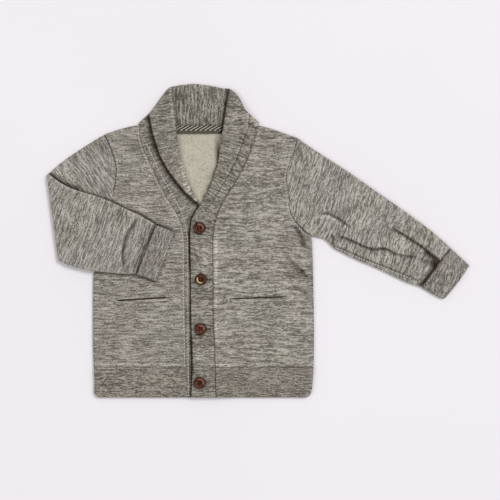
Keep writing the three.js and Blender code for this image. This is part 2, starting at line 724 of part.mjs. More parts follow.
// Neck tape: over the back's neck edge and the foot of the collar stand
function tape() {
  const neck = COLLAR_RIGHT.at(-1);
  const stand = Math.hypot(neck.rx - neck.ax, neck.ry - neck.ay) - BAND - SEAM / 2;
  const grid = TAPE_SHARES.map((share) => {
    const y = mix(TAPE.low, TAPE.high, share);
    return spread(TAPE.x2 - TAPE.x1, ACROSS.tape).map((d) => {
      const x = TAPE.x1 + d;
      const up = y - lookup(BACK_TOP, "x", x, "y");
      const carried = mix(neck.az, neck.rz, ease((up + TAPE_STEP.lead) / stand / neck.rise));
      const step = ease((up + TAPE_STEP.below) / TAPE_STEP.long);
      return new THREE.Vector3(x, y, mix(CLOTH, carried, step) + SEAM);
    });
  });
  return layer(grid, TAPE_THICK);
}

// Button: a turned disc with a raised rim, a dish and four holes
const wasm = await Module();
wasm.setup();

function solid(geometry) {
  const bare = geometry.clone();
  bare.deleteAttribute("normal");
  bare.deleteAttribute("uv");
  const merged = mergeVertices(bare, 1e-4);
  const mesh = new wasm.Mesh({
    numProp: 3,
    vertProperties: merged.attributes.position.array,
    triVerts: new Uint32Array(merged.index.array),
  });
  return new wasm.Manifold(mesh);
}

function button() {
  const { thick, hole, apart, sides } = BUTTON;
  const profile = BUTTON_PROFILE.map(({ out, up }) => new THREE.Vector2(out, up));
  const disc = new THREE.LatheGeometry(profile, sides);
  disc.rotateX(Math.PI / 2);
  let body = solid(disc);
  for (const sx of [-1, 1]) {
    for (const sy of [-1, 1]) {
      const drill = new THREE.CylinderGeometry(hole, hole, 3 * thick, DRILL_SIDES);
      drill.rotateX(Math.PI / 2).translate(sx * apart, sy * apart, 0);
      body = body.subtract(solid(drill));
    }
  }
  const cut = body.getMesh();
  const made = new THREE.BufferGeometry();
  made.setAttribute("position", new THREE.BufferAttribute(cut.vertProperties, 3));
  made.setIndex(new THREE.BufferAttribute(cut.triVerts, 1));
  return made;
}

// All pieces of the garment
const cardigan = new THREE.Group();
function add(name, geometry, material) {
  const mesh = new THREE.Mesh(geometry, material);
  mesh.name = name;
  cardigan.add(mesh);
  return mesh;
}

add("back", back(), terry(TERRY));
add("front_right", front(bodyRight, "sideRight", "bandRight", ACROSS.frontRight), terry(TERRY));
add("front_left", front(bodyLeft, "sideLeft", "bandLeft", ACROSS.frontLeft), terry(TERRY));
add("collar_band_right", collar(COLLAR_RIGHT, 1, -SEAM / 2), terry(TERRY));
add("collar_band_left", collar(COLLAR_LEFT, -1, SEAM / 2), terry(TERRY));

const hemSide = (half) => (y) => sideX(half, y) + (half.inward * SEAM) / 2;
const hemBand = (half) => (y) => bandX(half, y) - bandGap(half, y);
const hemHeight = (half) => (x, y) =>
  mix(bandZ(half, y), UNDER_BAND, ease(Math.abs(x - bandX(half, y)) / BAND_CLIMB));
const hemTop = FRONT_ROWS[0];
const backEdges = { right: hemSide(bodyRight), left: hemSide(bodyLeft) };
const rightEdges = { right: hemSide(bodyRight), left: hemBand(bodyRight) };
const leftEdges = { right: hemBand(bodyLeft), left: hemSide(bodyLeft) };
const backTops = { right: hemTop.sideRight, left: hemTop.sideLeft };
const rightTops = { right: hemTop.sideRight, left: hemTop.bandRight };
const leftTops = { right: hemTop.bandLeft, left: hemTop.sideLeft };
const overRight = hemHeight(bodyRight);
const overLeft = hemHeight(bodyLeft);
const hemBack = hem(backEdges, backTops, () => 0, ACROSS.hemBack, { right: 1, left: 1 });
const hemRight = hem(rightEdges, rightTops, overRight, ACROSS.hemRight, { right: 1, left: 0 });
const hemLeft = hem(leftEdges, leftTops, overLeft, ACROSS.hemLeft, { right: 0, left: 1 });
add("hem_back", hemBack, terry(TERRY_DARK));
add("hem_right", hemRight, terry(TERRY_DARK));
add("hem_left", hemLeft, terry(TERRY_DARK));

const noBow = () => new THREE.Vector3();
const leftBow = armholeBow(bodyLeft, SLEEVE_LEFT[0]);
const rightBow = armholeBow(bodyRight, SLEEVE_RIGHT[0]);
const longRows = refine(SLEEVE_LEFT, 2);
const sleeveLeft = tube(longRows, CLOTH, ACROSS.sleeve, leftBow, SLEEVE_LEFT_FOLDS);
const sleeveRight = tube(SLEEVE_RIGHT, CLOTH, ACROSS.sleeve, rightBow, SLEEVE_RIGHT_FOLDS);
add("sleeve_left", sleeveLeft, terry(TERRY_SLEEVE));
add("sleeve_right", sleeveRight, terry(TERRY_SLEEVE));
add("cuff_left", tube(CUFF_LEFT, BAND, ACROSS.cuff, noBow, []), terry(TERRY_DARK));
add("cuff_right", tube(CUFF_RIGHT, BAND, ACROSS.cuff, noBow, []), terry(TERRY_DARK));

add(WELTS[0].name, welt(bodyRight, WELTS[0]), terry(TERRY));
add(WELTS[1].name, welt(bodyLeft, WELTS[1]), terry(TERRY));
add("neck_tape", tape(), terry(TAPE_COLOUR));

BUTTONS.forEach((place, i) => {
  const horn = new THREE.MeshStandardMaterial({ color: BUTTON_COLOUR, roughness: 0.3, metalness: 0 });
  const made = add("button_" + (i + 1), button(), horn);
  made.position.set(place.x, place.y, TOP_BAND + BAND + SEAM);
});

// The origin is the middle of the laid-out garment's box, on the table
const box = new THREE.Box3().setFromObject(cardigan);
const middle = box.getCenter(new THREE.Vector3());
cardigan.position.set(-middle.x, -middle.y, -box.min.z);

export default cardigan;
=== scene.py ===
"""Looks for a baby cardigan laid flat on its back, one sleeve folded over the front.

Places and sizes are millimetres in the garment's own frame, whose origin is the middle of its box on
the table: +X the wearer's left, +Y up the body, +Z up. They become metres where a mesh is made.
"""

import math

import bmesh
import bpy
import numpy as np
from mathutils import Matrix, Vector
from mathutils.bvhtree import BVHTree


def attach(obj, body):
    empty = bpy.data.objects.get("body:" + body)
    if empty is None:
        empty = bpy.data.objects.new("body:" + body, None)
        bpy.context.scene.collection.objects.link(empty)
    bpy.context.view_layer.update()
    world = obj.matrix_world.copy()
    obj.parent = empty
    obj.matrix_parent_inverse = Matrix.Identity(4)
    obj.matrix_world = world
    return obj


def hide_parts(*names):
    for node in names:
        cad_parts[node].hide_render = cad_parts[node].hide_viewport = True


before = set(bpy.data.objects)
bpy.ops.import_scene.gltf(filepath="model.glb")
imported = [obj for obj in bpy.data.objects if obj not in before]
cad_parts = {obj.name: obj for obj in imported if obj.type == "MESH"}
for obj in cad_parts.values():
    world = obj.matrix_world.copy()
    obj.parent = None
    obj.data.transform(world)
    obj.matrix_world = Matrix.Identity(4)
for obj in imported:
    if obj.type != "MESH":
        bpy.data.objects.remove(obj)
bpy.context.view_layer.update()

MM = 0.001
ROW_SHIFT = -0.371  # from the places measured on the garment to the row frame, along X

# How often each piece of cloth splits the faces of its solid, and how firm the edges stay
LEVELS = {"back": 2, "hem_back": 2, "neck_tape": 2}
OTHER_LEVEL = 3
SHARP = math.radians(50)  # edges that bend more than this stay firm
FIRM = 0.6  # 0 rounds an edge off, 1 keeps it as it is

# Lines that the knit's courses run across on each layer: the streaks lie square to these lines
UP_THE_BODY = [(-70, -260), (-70, 260)]
GRAIN = {
    "sleeve_left": [(20, 90), (60, 66), (150, 12), (227, -34), (300, -80)],
    "upper_arm": [(-160, 95), (-201, 68), (-257, 31), (-300, 2)],
    "forearm": [(-320, 52), (-257, 29), (-143, -12), (-60, -42)],
    "collar_band_right": [
        (-75, -260), (-76, -20), (-83, 25), (-97, 58), (-112, 90), (-124, 122), (-128, 148), (-128, 215),
    ],
    "collar_band_left": [
        (-70, -260), (-72, -20), (-66, 28), (-49, 70), (-34, 100), (-25, 125), (-21, 150), (-21, 215),
    ],
}
GRAIN["cuff_left"] = GRAIN["sleeve_left"]
GRAIN["cuff_right"] = GRAIN["forearm"]
LEAN = {"sleeve_left": 0.2, "cuff_left": 0.2}  # how far the streaks lean off the square
WANDER = [(3.2, 46, 21), (1.0, 17, 22)]  # how the courses wander: by how much, over what size, seed
PIECES_APART, LAYERS_APART = 37.0, 400  # keep one piece from going on with another's streaks

# The folded sleeve: the forearm's upper edge, and how high its lower wall lies from the fold inwards
FOREARM_EDGE = [
    (-275, 100), (-266.9, 85.1), (-249.3, 71.9), (-234.7, 64.6), (-212.5, 58.8), (-187.6, 49.9),
    (-164, 38.1), (-150.8, 33.8), (-130.2, 20.5), (-106.6, 10.9),
]
FOREARM_STARTS = [(-264, 5.05), (-230, 6.0)]
FOREARM_RIM = 0.8  # what lies this far past the edge still belongs to the forearm

# The right front's band seam is pressed flat: its edges stay firm, and each piece moves this far to it
FLAT_PIECES = {"front_right": 0.32, "hem_right": 0.32, "collar_band_right": 0.0}
FLAT_REACH = 1.3  # only what is this near to the seam
SEAM_GAP = 0.6  # the solids on both sides of that seam are nearer to each other than this

# Lines that edges, seams and folds follow, from the collar down or from the left
LEFT_FALL = [(-139.5, 163), (-135, 137.6), (-125.8, 108.9), (-114.4, 88.4), (-94.9, 63.4), (-72, 42.5)]
LEFT_ROLL = [(-109.8, 194.7), (-104.1, 147.8), (-103.5, 135.3), (-99.5, 109.4), (-88.1, 69), (-73, 43.5)]
RIGHT_ROLL = [(-36, 200), (-44.6, 144.4), (-48.1, 131.8), (-51.5, 97.5), (-60.6, 69), (-73, 47)]
RIGHT_FALL = [(-11.2, 164.5), (-12.6, 144.4), (-28.6, 103.3), (-42.4, 76.9), (-57.3, 53.1), (-67.5, 39)]
BAND_EDGE = [
    (-73, 47), (-83.1, 29.6), (-86.7, 9), (-85.7, -40.3), (-85.7, -94.1), (-84.2, -136.3),
    (-82.4, -159.4), (-84.2, -176), (-84.9, -206),
]
BAND_SEAM = [
    (-2.4, 137.6), (-11.5, 108.9), (-20.7, 88.4), (-32.1, 69), (-47, 46.1), (-52.7, 32.6),
    (-57.3, 14.7), (-56.9, -64.6), (-57.4, -104.3), (-54.7, -137.6), (-53.4, -206),
]
BAND_RIDGE = [(-50, 28), (-53.4, 10), (-53.2, -64.6), (-53.6, -104.3), (-51, -137.6)]
LOW_GAP = [(-84.6, -112), (-83, -145), (-83, -166), (-84.8, -186)]
LOW_GAP_EDGE = [(-84.6, -120), (-83.8, -150), (-83.2, -166), (-84.6, -180)]
SIDE_RIGHT = [(-210.5, -45), (-210.5, -165), (-207.5, -200)]
SIDE_LEFT = [(72.5, 0), (72.5, -165), (69.5, -200)]
CUFF_RIGHT_LINE = [(-129, 23.5), (-137.7, 2.9), (-146.5, -14.7), (-152.4, -33.9), (-156.5, -46)]
CUFF_RIGHT_END = [(-106.6, 10.9), (-117.1, -11.8), (-124.4, -35.3), (-130.2, -52.5)]
CUFF_LEFT_LINE = [(249, -6.5), (232, -27.5), (206.5, -61)]
OVERLAP = [(170, 18), (176.6, 14.1), (205.1, -4.5), (236, -27)]
ARMPIT = [(76, 33), (89.9, 33.9), (102.7, 27.5), (120, 14)]
UNDERARM_FOLD = [
    (99, 8), (105.3, 5.8), (120, 0.5), (135.3, -6.7), (146.1, -10.8), (162.4, -9.5), (172, -14.5),
]
UNDERARM_CREST = [
    (96, 12), (105.3, 8.8), (120, 3.5), (135.3, -3.7), (147, -7.5), (162.4, -6.5), (180, -14),
]
UNDERARM_TAIL = [(150, -10.5), (162.4, -9.5), (178.6, -17.5), (192, -19.5), (208, -22)]
UNDERARM_SEAM = [(92, -2.5), (98.5, -6.7), (139.8, -24.2), (195.6, -46.5), (207, -53)]
S_FOLD = [(-149, 35), (-157, 23), (-164, 13.2), (-169.9, -1.5), (-172.5, -18), (-170.7, -42)]
S_FOLD_CREST = [(-152, 38), (-160, 24), (-168, 12), (-174, -2), (-176, -18), (-174, -42)]
BELOW_FOREARM = [(-212, -39), (-172.9, -43.4), (-153.8, -44.2), (-130.2, -52.5), (-124, -53)]
ARMHOLE_RIGHT = [(-194.6, 133), (-187, 118), (-182, 103), (-180.6, 88), (-181.5, 74), (-184, 62)]
ELBOW = [(-266, 86), (-252.2, 73.5), (-240, 68), (-224, 64.5)]

# The collar's stand behind the neck, where the streaks run up: the roll that bounds it, the side that
# it lies on (1 to the line's left), how low it shows, and how much coarser its streaks are
STANDS = {"collar_band_right": (LEFT_ROLL, 1), "collar_band_left": (RIGHT_ROLL, -1)}
STAND_LOW = 130
STAND_COARSER = 1.3

# Creases: layers, places along the crest, reach to its left and right, height (a trough below 0)
CREASES = [
    # stretched sleeve
    ("sleeve_left cuff_left", [(170, 20.5), (200, 2), (222, -14), (240, -27)], 12, 3.0, 4.2),
    ("sleeve_left", [(212, -13), (226, -24), (238, -32)], 3, 8, -2.6),
    ("sleeve_left", [(156, -6.5), (178.6, -14.7), (192, -17), (212, -21)], 7, 4, 1.8),
    ("sleeve_left", [(76, 30.5), (89.9, 31), (102, 24.5), (120, 11)], 3.5, 10, 3.0),
    ("sleeve_left", [(72, 20), (84, 12), (98, 8)], 5, 5, 0.9),
    ("sleeve_left", UNDERARM_CREST, 9, 3.4, 2.8),
    ("sleeve_left", [(120, -11), (150, -25), (185, -38)], 7, 5, 0.7),
    ("sleeve_left", [(92, 62), (126, 52), (150, 34)], 9, 9, 0.8),
    ("sleeve_left", [(140, 44), (176, 28), (205, 6)], 8, 8, -0.8),
    ("sleeve_left", [(202, -44), (212, -30), (222, -20)], 5, 5, 1.0),
    ("sleeve_left front_left", [(58, 96), (66, 70), (72, 40)], 7, 7, -0.5),
    ("sleeve_left", [(49, 125), (57, 107.5), (60, 94)], 4, 4, -0.9),
    # left front, below the armpit
    ("front_left sleeve_left", [(52, 22), (60, 4), (67, -12)], 6, 4, 1.8),
    ("front_left", [(33, -10), (44, -23), (58, -35), (68, -47)], 6, 4.5, 1.9),
    ("front_left", [(41, -55), (54, -60), (66, -67)], 5, 4, 1.2),
    ("front_left", [(26, -30), (40, -44), (56, -58)], 6, 6, -0.7),
    # fronts
    ("front_left", [(-40, 96), (-10, 84), (26, 92)], 12, 12, 0.5),
    ("front_left", [(-50, -20), (-10, -34), (20, -30)], 13, 13, 0.5),
    ("front_left", [(-50, -124), (0, -138), (60, -128)], 14, 12, 0.5),
    ("front_right", [(-178, 84), (-160, 60), (-136, 40)], 11, 9, 0.55),
    ("front_right", [(-200, -96), (-160, -108), (-110, -102)], 14, 14, 0.5),
    ("front_right", [(-204, -140), (-160, -130), (-104, -138)], 12, 12, 0.5),
    ("front_left front_right", [(-49, -60), (-51, -100), (-48, -150)], 4, 4, 0.5),
    # folded sleeve
    ("forearm", [(-144, 36), (-157, 16), (-164, -2), (-166, -44)], 5, 5, 2.6),
    ("forearm", [(-152, 37), (-168, 13), (-176, -3), (-176, -44)], 4, 8, 1.8),
    ("forearm", [(-133, 24), (-143, 0), (-152, -18), (-158, -44)], 3, 7, 1.3),
    ("forearm", [(-262, 60), (-236, 46), (-212, 44)], 8, 6, 0.9),
    ("forearm", [(-246, 18), (-226, 2), (-204, -8)], 9, 9, 0.7),
    ("forearm", [(-222, 36), (-205, 10), (-196, -22)], 8, 8, -0.7),
    ("forearm", [(-258, -2), (-240, -6), (-222, -22)], 7, 7, 0.6),
    ("upper_arm", [(-262, 88), (-246, 80), (-228, 72)], 6, 3, 2.2),
]
CREASE_ENDS = 3  # a crease takes a third of its length to rise, and a third to fall

# Where a layer starts to give way to a crease, and how far: what is hidden below stays put
SOFT_ABOVE = {
    "front_left": 3.3, "front_right": 3.3, "hem_left": 3.3, "hem_right": 3.3, "sleeve_left": 1.7,
    "cuff_left": 2.0, "cuff_right": 8.4, "forearm": 8.0, "upper_arm": 1.7,
}
SOFT_ABOVE_TABLE = 0.3  # the other pieces: only their underside stays put
SOFT_OVER = 1.5  # the height over which a layer gives way more and more
UPPER_ARM_GIVES = 0.4
UNEVEN = [(0.28, 34, 11), (0.14, 15, 12), (0.06, 6, 13)]  # the cloth's own waves: height, size, seed

# Light that a fold keeps off the cloth or throws on it: layers, line, reach to its left and right,
# share of the colour added, and length over which it fades at both ends
TONES = [
    # collar and neck
    ("front_right collar_band_right back", LEFT_FALL, 2.0, 7.6, -0.94, 5),
    ("collar_band_right", LEFT_FALL, 4.0, 0.0, 0.10, 8),
    ("back collar_band_left collar_band_right neck_tape", RIGHT_ROLL[:4], 1.8, 4.8, -0.90, 7),
    ("back collar_band_left collar_band_right", RIGHT_ROLL[2:], 1.4, 3.4, -0.52, 6),
    ("back", RIGHT_ROLL, 0.0, 8.0, -0.10, 9),
    ("collar_band_right", LEFT_ROLL[3:], 0.8, 8.0, 0.42, 10),
    ("collar_band_right", [(-111.6, 194.7), (-106.6, 147.8), (-105.8, 135.3)], 2.2, 3.2, 0.6, 8),
    ("collar_band_right", [(-107, 194.7), (-102, 147.8), (-101.4, 135.3)], 6.0, 2.4, -0.32, 6),
    ("collar_band_left", RIGHT_FALL, 0.6, 2.6, 0.45, 8),
    ("collar_band_left front_left", RIGHT_FALL, 3.0, 0.0, -0.45, 8),
    ("collar_band_left", RIGHT_FALL, 0.0, 16.0, -0.10, 8),
    ("collar_band_left collar_band_right", [(-84, 198), (-80, 142)], 2.6, 1.2, 0.18, 12),
    ("collar_band_left collar_band_right", [(-86, 198), (-82, 142)], 1.0, 2.2, -0.30, 12),
    ("neck_tape", [(-106, 147.2), (-40, 147.2)], 1.6, 1.6, -0.5, 3),
    ("back", [(-106, 136), (-44, 136)], 0.5, 2.0, -0.25, 3),
    # front bands
    ("collar_band_right front_right hem_right", BAND_EDGE, 1.2, 3.1, -0.93, 4),
    ("collar_band_right front_right", BAND_EDGE[:4], 1.6, 5.0, -0.85, 8),
    ("collar_band_right front_right hem_right", BAND_EDGE, 0.0, 8.0, -0.12, 8),
    ("collar_band_right hem_right", LOW_GAP, 1.5, 7, -0.8, 16),
    ("collar_band_left", LOW_GAP_EDGE, 2.0, 2.0, -0.88, 14),
    ("collar_band_left front_left hem_left", BAND_SEAM, 1.1, 1.1, -0.50, 6),
    ("front_left", BAND_RIDGE, 2.6, 2.4, 0.32, 20),
    # folded sleeve
    ("upper_arm front_right", FOREARM_EDGE, 4.2, 1.2, -0.78, 6),
    ("forearm", FOREARM_EDGE[1:-1], 0.0, 3.8, 0.30, 6),
    ("upper_arm", ELBOW, 7.0, 1.2, -0.72, 5),
    ("front_right", FOREARM_EDGE[7:], 3.0, 0.6, -0.30, 5),
    ("upper_arm front_right", ARMHOLE_RIGHT, 1.3, 1.3, -0.50, 6),
    ("front_right", ARMHOLE_RIGHT, 5.0, 0.0, 0.16, 8),
    ("forearm cuff_right", CUFF_RIGHT_LINE, 3.0, 1.4, -0.86, 4),
    ("forearm", CUFF_RIGHT_LINE, 0.0, 10.0, -0.38, 8),
    ("cuff_right", [(-108, 9), (-118.5, -11.8), (-126, -35.3), (-131.5, -52)], 0.6, 2.4, 0.12, 6),
    ("front_right", CUFF_RIGHT_END, 2.6, 0.6, -0.20, 6),
    ("forearm", S_FOLD, 3.6, 2.0, -0.82, 18),
    ("forearm", S_FOLD, 10.0, 0.0, -0.18, 12),
    ("forearm", S_FOLD_CREST, 3.0, 3.4, 0.20, 12),
    ("front_right back collar_band_right", BELOW_FOREARM, 1.0, 3.8, -0.65, 8),
    # stretched sleeve
    ("cuff_left sleeve_left", CUFF_LEFT_LINE, 1.6, 1.4, -0.80, 3),
    ("cuff_left sleeve_left", CUFF_LEFT_LINE[1:], 2.6, 6.6, -0.92, 8),
    ("sleeve_left", OVERLAP, 1.2, 4.2, -0.90, 12),
    ("sleeve_left", OVERLAP, 4.0, 0.0, 0.12, 12),
    ("sleeve_left", [(210, -10), (224, -20), (238, -30)], 1, 11, -0.88, 9),
    ("sleeve_left", [(202, -21), (220, -27), (236, -32)], 2.5, 8, -0.55, 10),
    ("sleeve_left", ARMPIT, 4.2, 1.6, -0.84, 9),
    ("sleeve_left", ARMPIT, 0.0, 7.5, 0.26, 9),
    ("sleeve_left", UNDERARM_FOLD, 1.6, 4.8, -0.90, 13),
    ("sleeve_left", UNDERARM_FOLD, 6.0, 0.0, 0.16, 14),
    ("sleeve_left", UNDERARM_TAIL, 1.4, 4.0, -0.74, 12),
    ("sleeve_left", UNDERARM_SEAM, 1.3, 1.3, -0.62, 5),
    ("sleeve_left", UNDERARM_SEAM, 0.0, 4.5, -0.22, 8),
    ("sleeve_left", [(207, -53), (150, -30), (100, -10)], 1.5, 2.5, -0.25, 10),
    ("sleeve_left", [(93, 9), (96.5, 4), (95.5, -6)], 3.4, 2.6, -0.85, 3),
    ("sleeve_left", [(49, 125), (57, 107.5), (60, 94)], 2.6, 3.6, -0.34, 8),
    ("sleeve_left", [(50, 113), (54, 101), (53, 90)], 2.6, 2.6, 0.20, 6),
    # left front, below the armpit
    ("front_left", [(48, 24), (56, 5), (63, -14)], 3.6, 7.0, -0.68, 9),
    ("front_left", [(31, -12), (42, -25), (56, -37), (66, -48)], 3.0, 8.0, -0.52, 14),
    ("front_left", [(52, -34), (66, -49)], 2.6, 6.0, -0.52, 7),
    ("front_left", [(40, -56), (54, -61), (67, -69)], 2.5, 6.5, -0.52, 9),
    ("front_left", [(60, 12), (66, -10), (70, -40), (70, -70)], 4, 7, -0.16, 20),
    # pocket slits, hem seams and side edges
    ("front_right pocket_welt_right", [(-182.5, -79.2), (-110.8, -75.2)], 1.6, 1.6, 0.25, 8),
    ("front_left pocket_welt_left", [(-33.7, -76.8), (35.8, -74.4)], 1.6, 1.6, 0.25, 8),
    ("front_left front_right", [(-212, -159), (72, -159)], 2.4, 2.4, 0.22, 6),
    ("front_left front_right", [(-212, -155), (72, -155)], 1.6, 1.6, -0.22, 6),
    ("front_right hem_right", [(-210, -162), (-95, -161.6)], 1.8, 1.8, -0.36, 4),
    ("front_right back hem_right hem_back", SIDE_RIGHT, 3.0, 2.0, -0.28, 6),
    ("front_left back hem_left hem_back", SIDE_LEFT, 2.0, 3.0, -0.22, 6),
]
LEAST_REACH = 1e-6  # stands in for a reach of 0

# Patches where the colour is lighter or darker. Some are where more light or more dark yarn comes up;
# others are painted light and painted shade, such as lighter steep ends of the collar and the dark wedge by
# the left cuff: layers, place, reach across and up, share of the colour
PATCHES = [
    ("collar_band_left front_left", -66, -19, 30, 29, 0.34),
    ("collar_band_left", -70, -150, 20, 28, 0.24),
    ("front_left", 15, -147, 34, 20, 0.14),
    ("front_left", -1, -67, 30, 13, 0.12),
    ("front_left", -6, -31, 26, 14, -0.09),
    ("front_left", 18, 120, 26, 17, -0.24),
    ("front_right", -103, -83, 16, 16, 0.12),
    ("front_right", -163, 88, 20, 14, 0.13),
    ("front_right", -158, 122, 22, 16, -0.42),
    ("upper_arm front_right", -200, 120, 34, 17, -0.22),
    ("upper_arm", -250, 84, 22, 15, 0.20),
    ("sleeve_left", 140, 20, 19, 16, 0.14),
    ("sleeve_left", 182, 1, 32, 17, 0.26),
    ("sleeve_left", 233, -14, 14, 10, 0.08),
    # painted shadow in the wedge between the sleeve's overlapping fold and its cuff
    ("sleeve_left", 227, -31, 12, 11, -0.92),
    ("collar_band_left collar_band_right", -95, 182, 12, 15, -0.28),
    # painted light on a steep face at the top end of the left collar band, against the shade it lies in
    ("collar_band_left", -8, 150, 13, 11, 0.22),
    ("collar_band_left", -44, 128, 10, 15, -0.22),
    ("collar_band_left", -28, 167, 8, 24, 0.18),
    ("collar_band_right", -94, 80, 19, 30, 0.55),
    # painted light on a steep face at the right collar band's end by the shoulder, against the shade it
    # lies in
    ("collar_band_right", -150, 146, 10, 14, 0.28),
    ("collar_band_right", -104, 170, 14, 30, 0.06),
]

# The buttons' middles and colours, and the shadow that each throws round itself on the band
BUTTONS = {
    "button_1": ((-74.5, 16.0), "reddish"),
    "button_2": ((-72.5, -49.5), "amber"),
    "button_3": ((-73.0, -113.0), "reddish"),
    "button_4": ((-74.0, -181.5), "reddish"),
}
BUTTON_SHADE = {"across": -0.5, "up": -0.7, "from": 6.6, "to": 10.4, "share": -0.55}

# Small corrections of the outline: place, reach and shift across and up
PULLS = [
    (-114.9, 193.9, 27, -2.6, 3.6),
    (-131, 177, 18, -1.6, 1.0),
    (-26, 187, 24, 3.8, 2.8),
    (-178, 144, 44, -0.5, 1.2),
    (256, -62, 34, 1.5, -1.1),
    (76, -1, 25, 0.0, 5.0),
    (88, -4, 13, 0.0, 3.2),
    (-207, -198, 17, -2.0, -0.4),
    (-183, 88, 25, 3.0, 0.0),
    (46, 80, 36, -8.5, 0.0),
    (50, 40, 30, -8.0, 0.0),
]

# Cut of each sheet: width and length in metres, area in square metres, how it is held, what carries it
SHEETS = {
    "back": (0.282, 0.313, 0.0801, "laid", ["floor"]),
    "front_left": (0.129, 0.309, 0.0324, "laid", ["back"]),
    "front_right": (0.119, 0.310, 0.0289, "laid", ["back"]),
    "collar_band_left": (0.090, 0.470, 0.0214, "folded", ["collar_band_right", "back"]),
    "collar_band_right": (0.090, 0.460, 0.0215, "folded", ["back"]),
    "hem_back": (0.282, 0.039, 0.0109, "laid", ["floor"]),
    "hem_left": (0.126, 0.039, 0.0049, "laid", ["hem_back"]),
    "hem_right": (0.119, 0.037, 0.0044, "laid", ["hem_back"]),
    "sleeve_left": (0.270, 0.220, 0.0369, "laid", ["floor"]),
    "sleeve_right": (0.270, 0.225, 0.0413, "folded", ["front_right", "floor"]),
    "cuff_left": (0.128, 0.036, 0.0040, "laid", ["floor"]),
    "cuff_right": (0.136, 0.026, 0.0035, "laid", ["front_right"]),
    "pocket_welt_left": (0.070, 0.012, 0.0004, "folded", ["front_left"]),
    "pocket_welt_right": (0.072, 0.012, 0.0004, "folded", ["front_right"]),
    "neck_tape": (0.0625, 0.0115, 0.0007, "laid", ["back", "collar_band_left", "collar_band_right"]),
}


# Numbers


def smooth(t):
    """0 to 1 with a soft start and end."""
    t = np.clip(t, 0, 1)
    return t * t * (3 - 2 * t)


def hump(off):
    """1 in the middle of a reach, falling softly to 0 where the reach ends."""
    return np.where(off < 1, (1 - off**2) ** 2, 0)


def measured(line):
    """A line's places, the steps between them, the steps' lengths, and how far along each place is."""
    line = np.array(line, float)
    steps = np.diff(line, axis=0)
    lengths = np.linalg.norm(steps, axis=1)
    return line, steps, lengths, np.concatenate([[0], np.cumsum(lengths)])


def along(line, x, y):
    """How far along a line of places each point is, how far to the line's left, and the line's length."""
    line, steps, lengths, starts = measured(line)
    best = np.full(len(x), np.inf)
    where, aside = np.zeros(len(x)), np.zeros(len(x))
    for (px, py), (dx, dy), length, start in zip(line[:-1], steps, lengths, starts):
        t = np.clip(((x - px) * dx + (y - py) * dy) / length**2, 0, 1)
        ox, oy = x - px - t * dx, y - py - t * dy
        off = np.hypot(ox, oy)
        nearer = off < best
        side = np.where(dx * oy - dy * ox >= 0, 1, -1)
        best = np.where(nearer, off, best)
        where = np.where(nearer, start + t * length, where)
        aside = np.where(nearer, side * off, aside)
    return where, aside, starts[-1]


def ripple(x, y, size, seed):
    """Smooth noise from -1 to 1 with features of that size."""
    cells, turn_cos, turn_sin, shift = 64, 0.8, 0.6, 900
    grid = np.random.default_rng(seed).uniform(-1, 1, (cells, cells))
    u = (turn_cos * x + turn_sin * y) / size + shift
    v = (turn_cos * y - turn_sin * x) / size + shift
    i, j = np.floor(u).astype(int), np.floor(v).astype(int)
    s, t = smooth(u - i), smooth(v - j)
    i, j, next_i, next_j = i % cells, j % cells, (i + 1) % cells, (j + 1) % cells
    low = grid[i, j] * (1 - s) + grid[next_i, j] * s
    high = grid[i, next_j] * (1 - s) + grid[next_i, next_j] * s
    return low * (1 - t) + high * t


def waves(rows, x, y):
    """The sum of some ripples: how high, what size and which seed each one has."""
    return sum(high * ripple(x, y, size, seed) for high, size, seed in rows)


def crease(line, left, right, high, x, y):
    """Height that one crease adds at each point: a rounded crest that fades out at both ends."""
    where, aside, length = along(line, x, y)
    away = np.where(aside > 0, aside / left, -aside / right)
    ends = smooth(CREASE_ENDS * where / length) * smooth(CREASE_ENDS * (length - where) / length)
    return high * ends * hump(away)


# Meshes


def tree_of(piece):
    """A search tree over an object's faces."""
    mesh = piece.data
    return BVHTree.FromPolygons([v.co for v in mesh.vertices], [f.vertices for f in mesh.polygons])


def seam_line(nodes, partner):
    """The places where some solids meet another one, from the collar down."""
    tree = tree_of(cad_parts[partner])
    places = set()
    for node in nodes:
        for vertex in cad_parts[node].data.vertices:
            if tree.find_nearest(vertex.co, SEAM_GAP * MM)[0] is not None:
                places.add((round(vertex.co.x / MM - ROW_SHIFT, 1), round(vertex.co.y / MM, 1)))
    return sorted(places, key=lambda place: -place[1])


FLAT_SEAM = seam_line(("front_right", "hem_right"), "collar_band_right")


def firm_edges(bm, node):
    """Pairs the triangles of a solid's mesh into quads and keeps its sharp edges firm."""
    bmesh.ops.remove_doubles(bm, verts=bm.verts, dist=1e-6)
    bmesh.ops.join_triangles(
        bm,
        faces=bm.faces[:],
        angle_face_threshold=math.radians(60),
        angle_shape_threshold=math.radians(70),
    )
    layer = bm.edges.layers.float.new("crease_edge")
    sharp = [e for e in bm.edges if len(e.link_faces) == 2 and e.calc_face_angle() > SHARP]
    middles = np.array([(e.verts[0].co + e.verts[1].co) / 2 for e in sharp]) / MM
    _, off, _ = along(FLAT_SEAM, middles[:, 0] - ROW_SHIFT, middles[:, 1])
    for edge, aside in zip(sharp, off):
        edge[layer] = 1 if node in FLAT_PIECES and abs(aside) < FLAT_REACH else FIRM


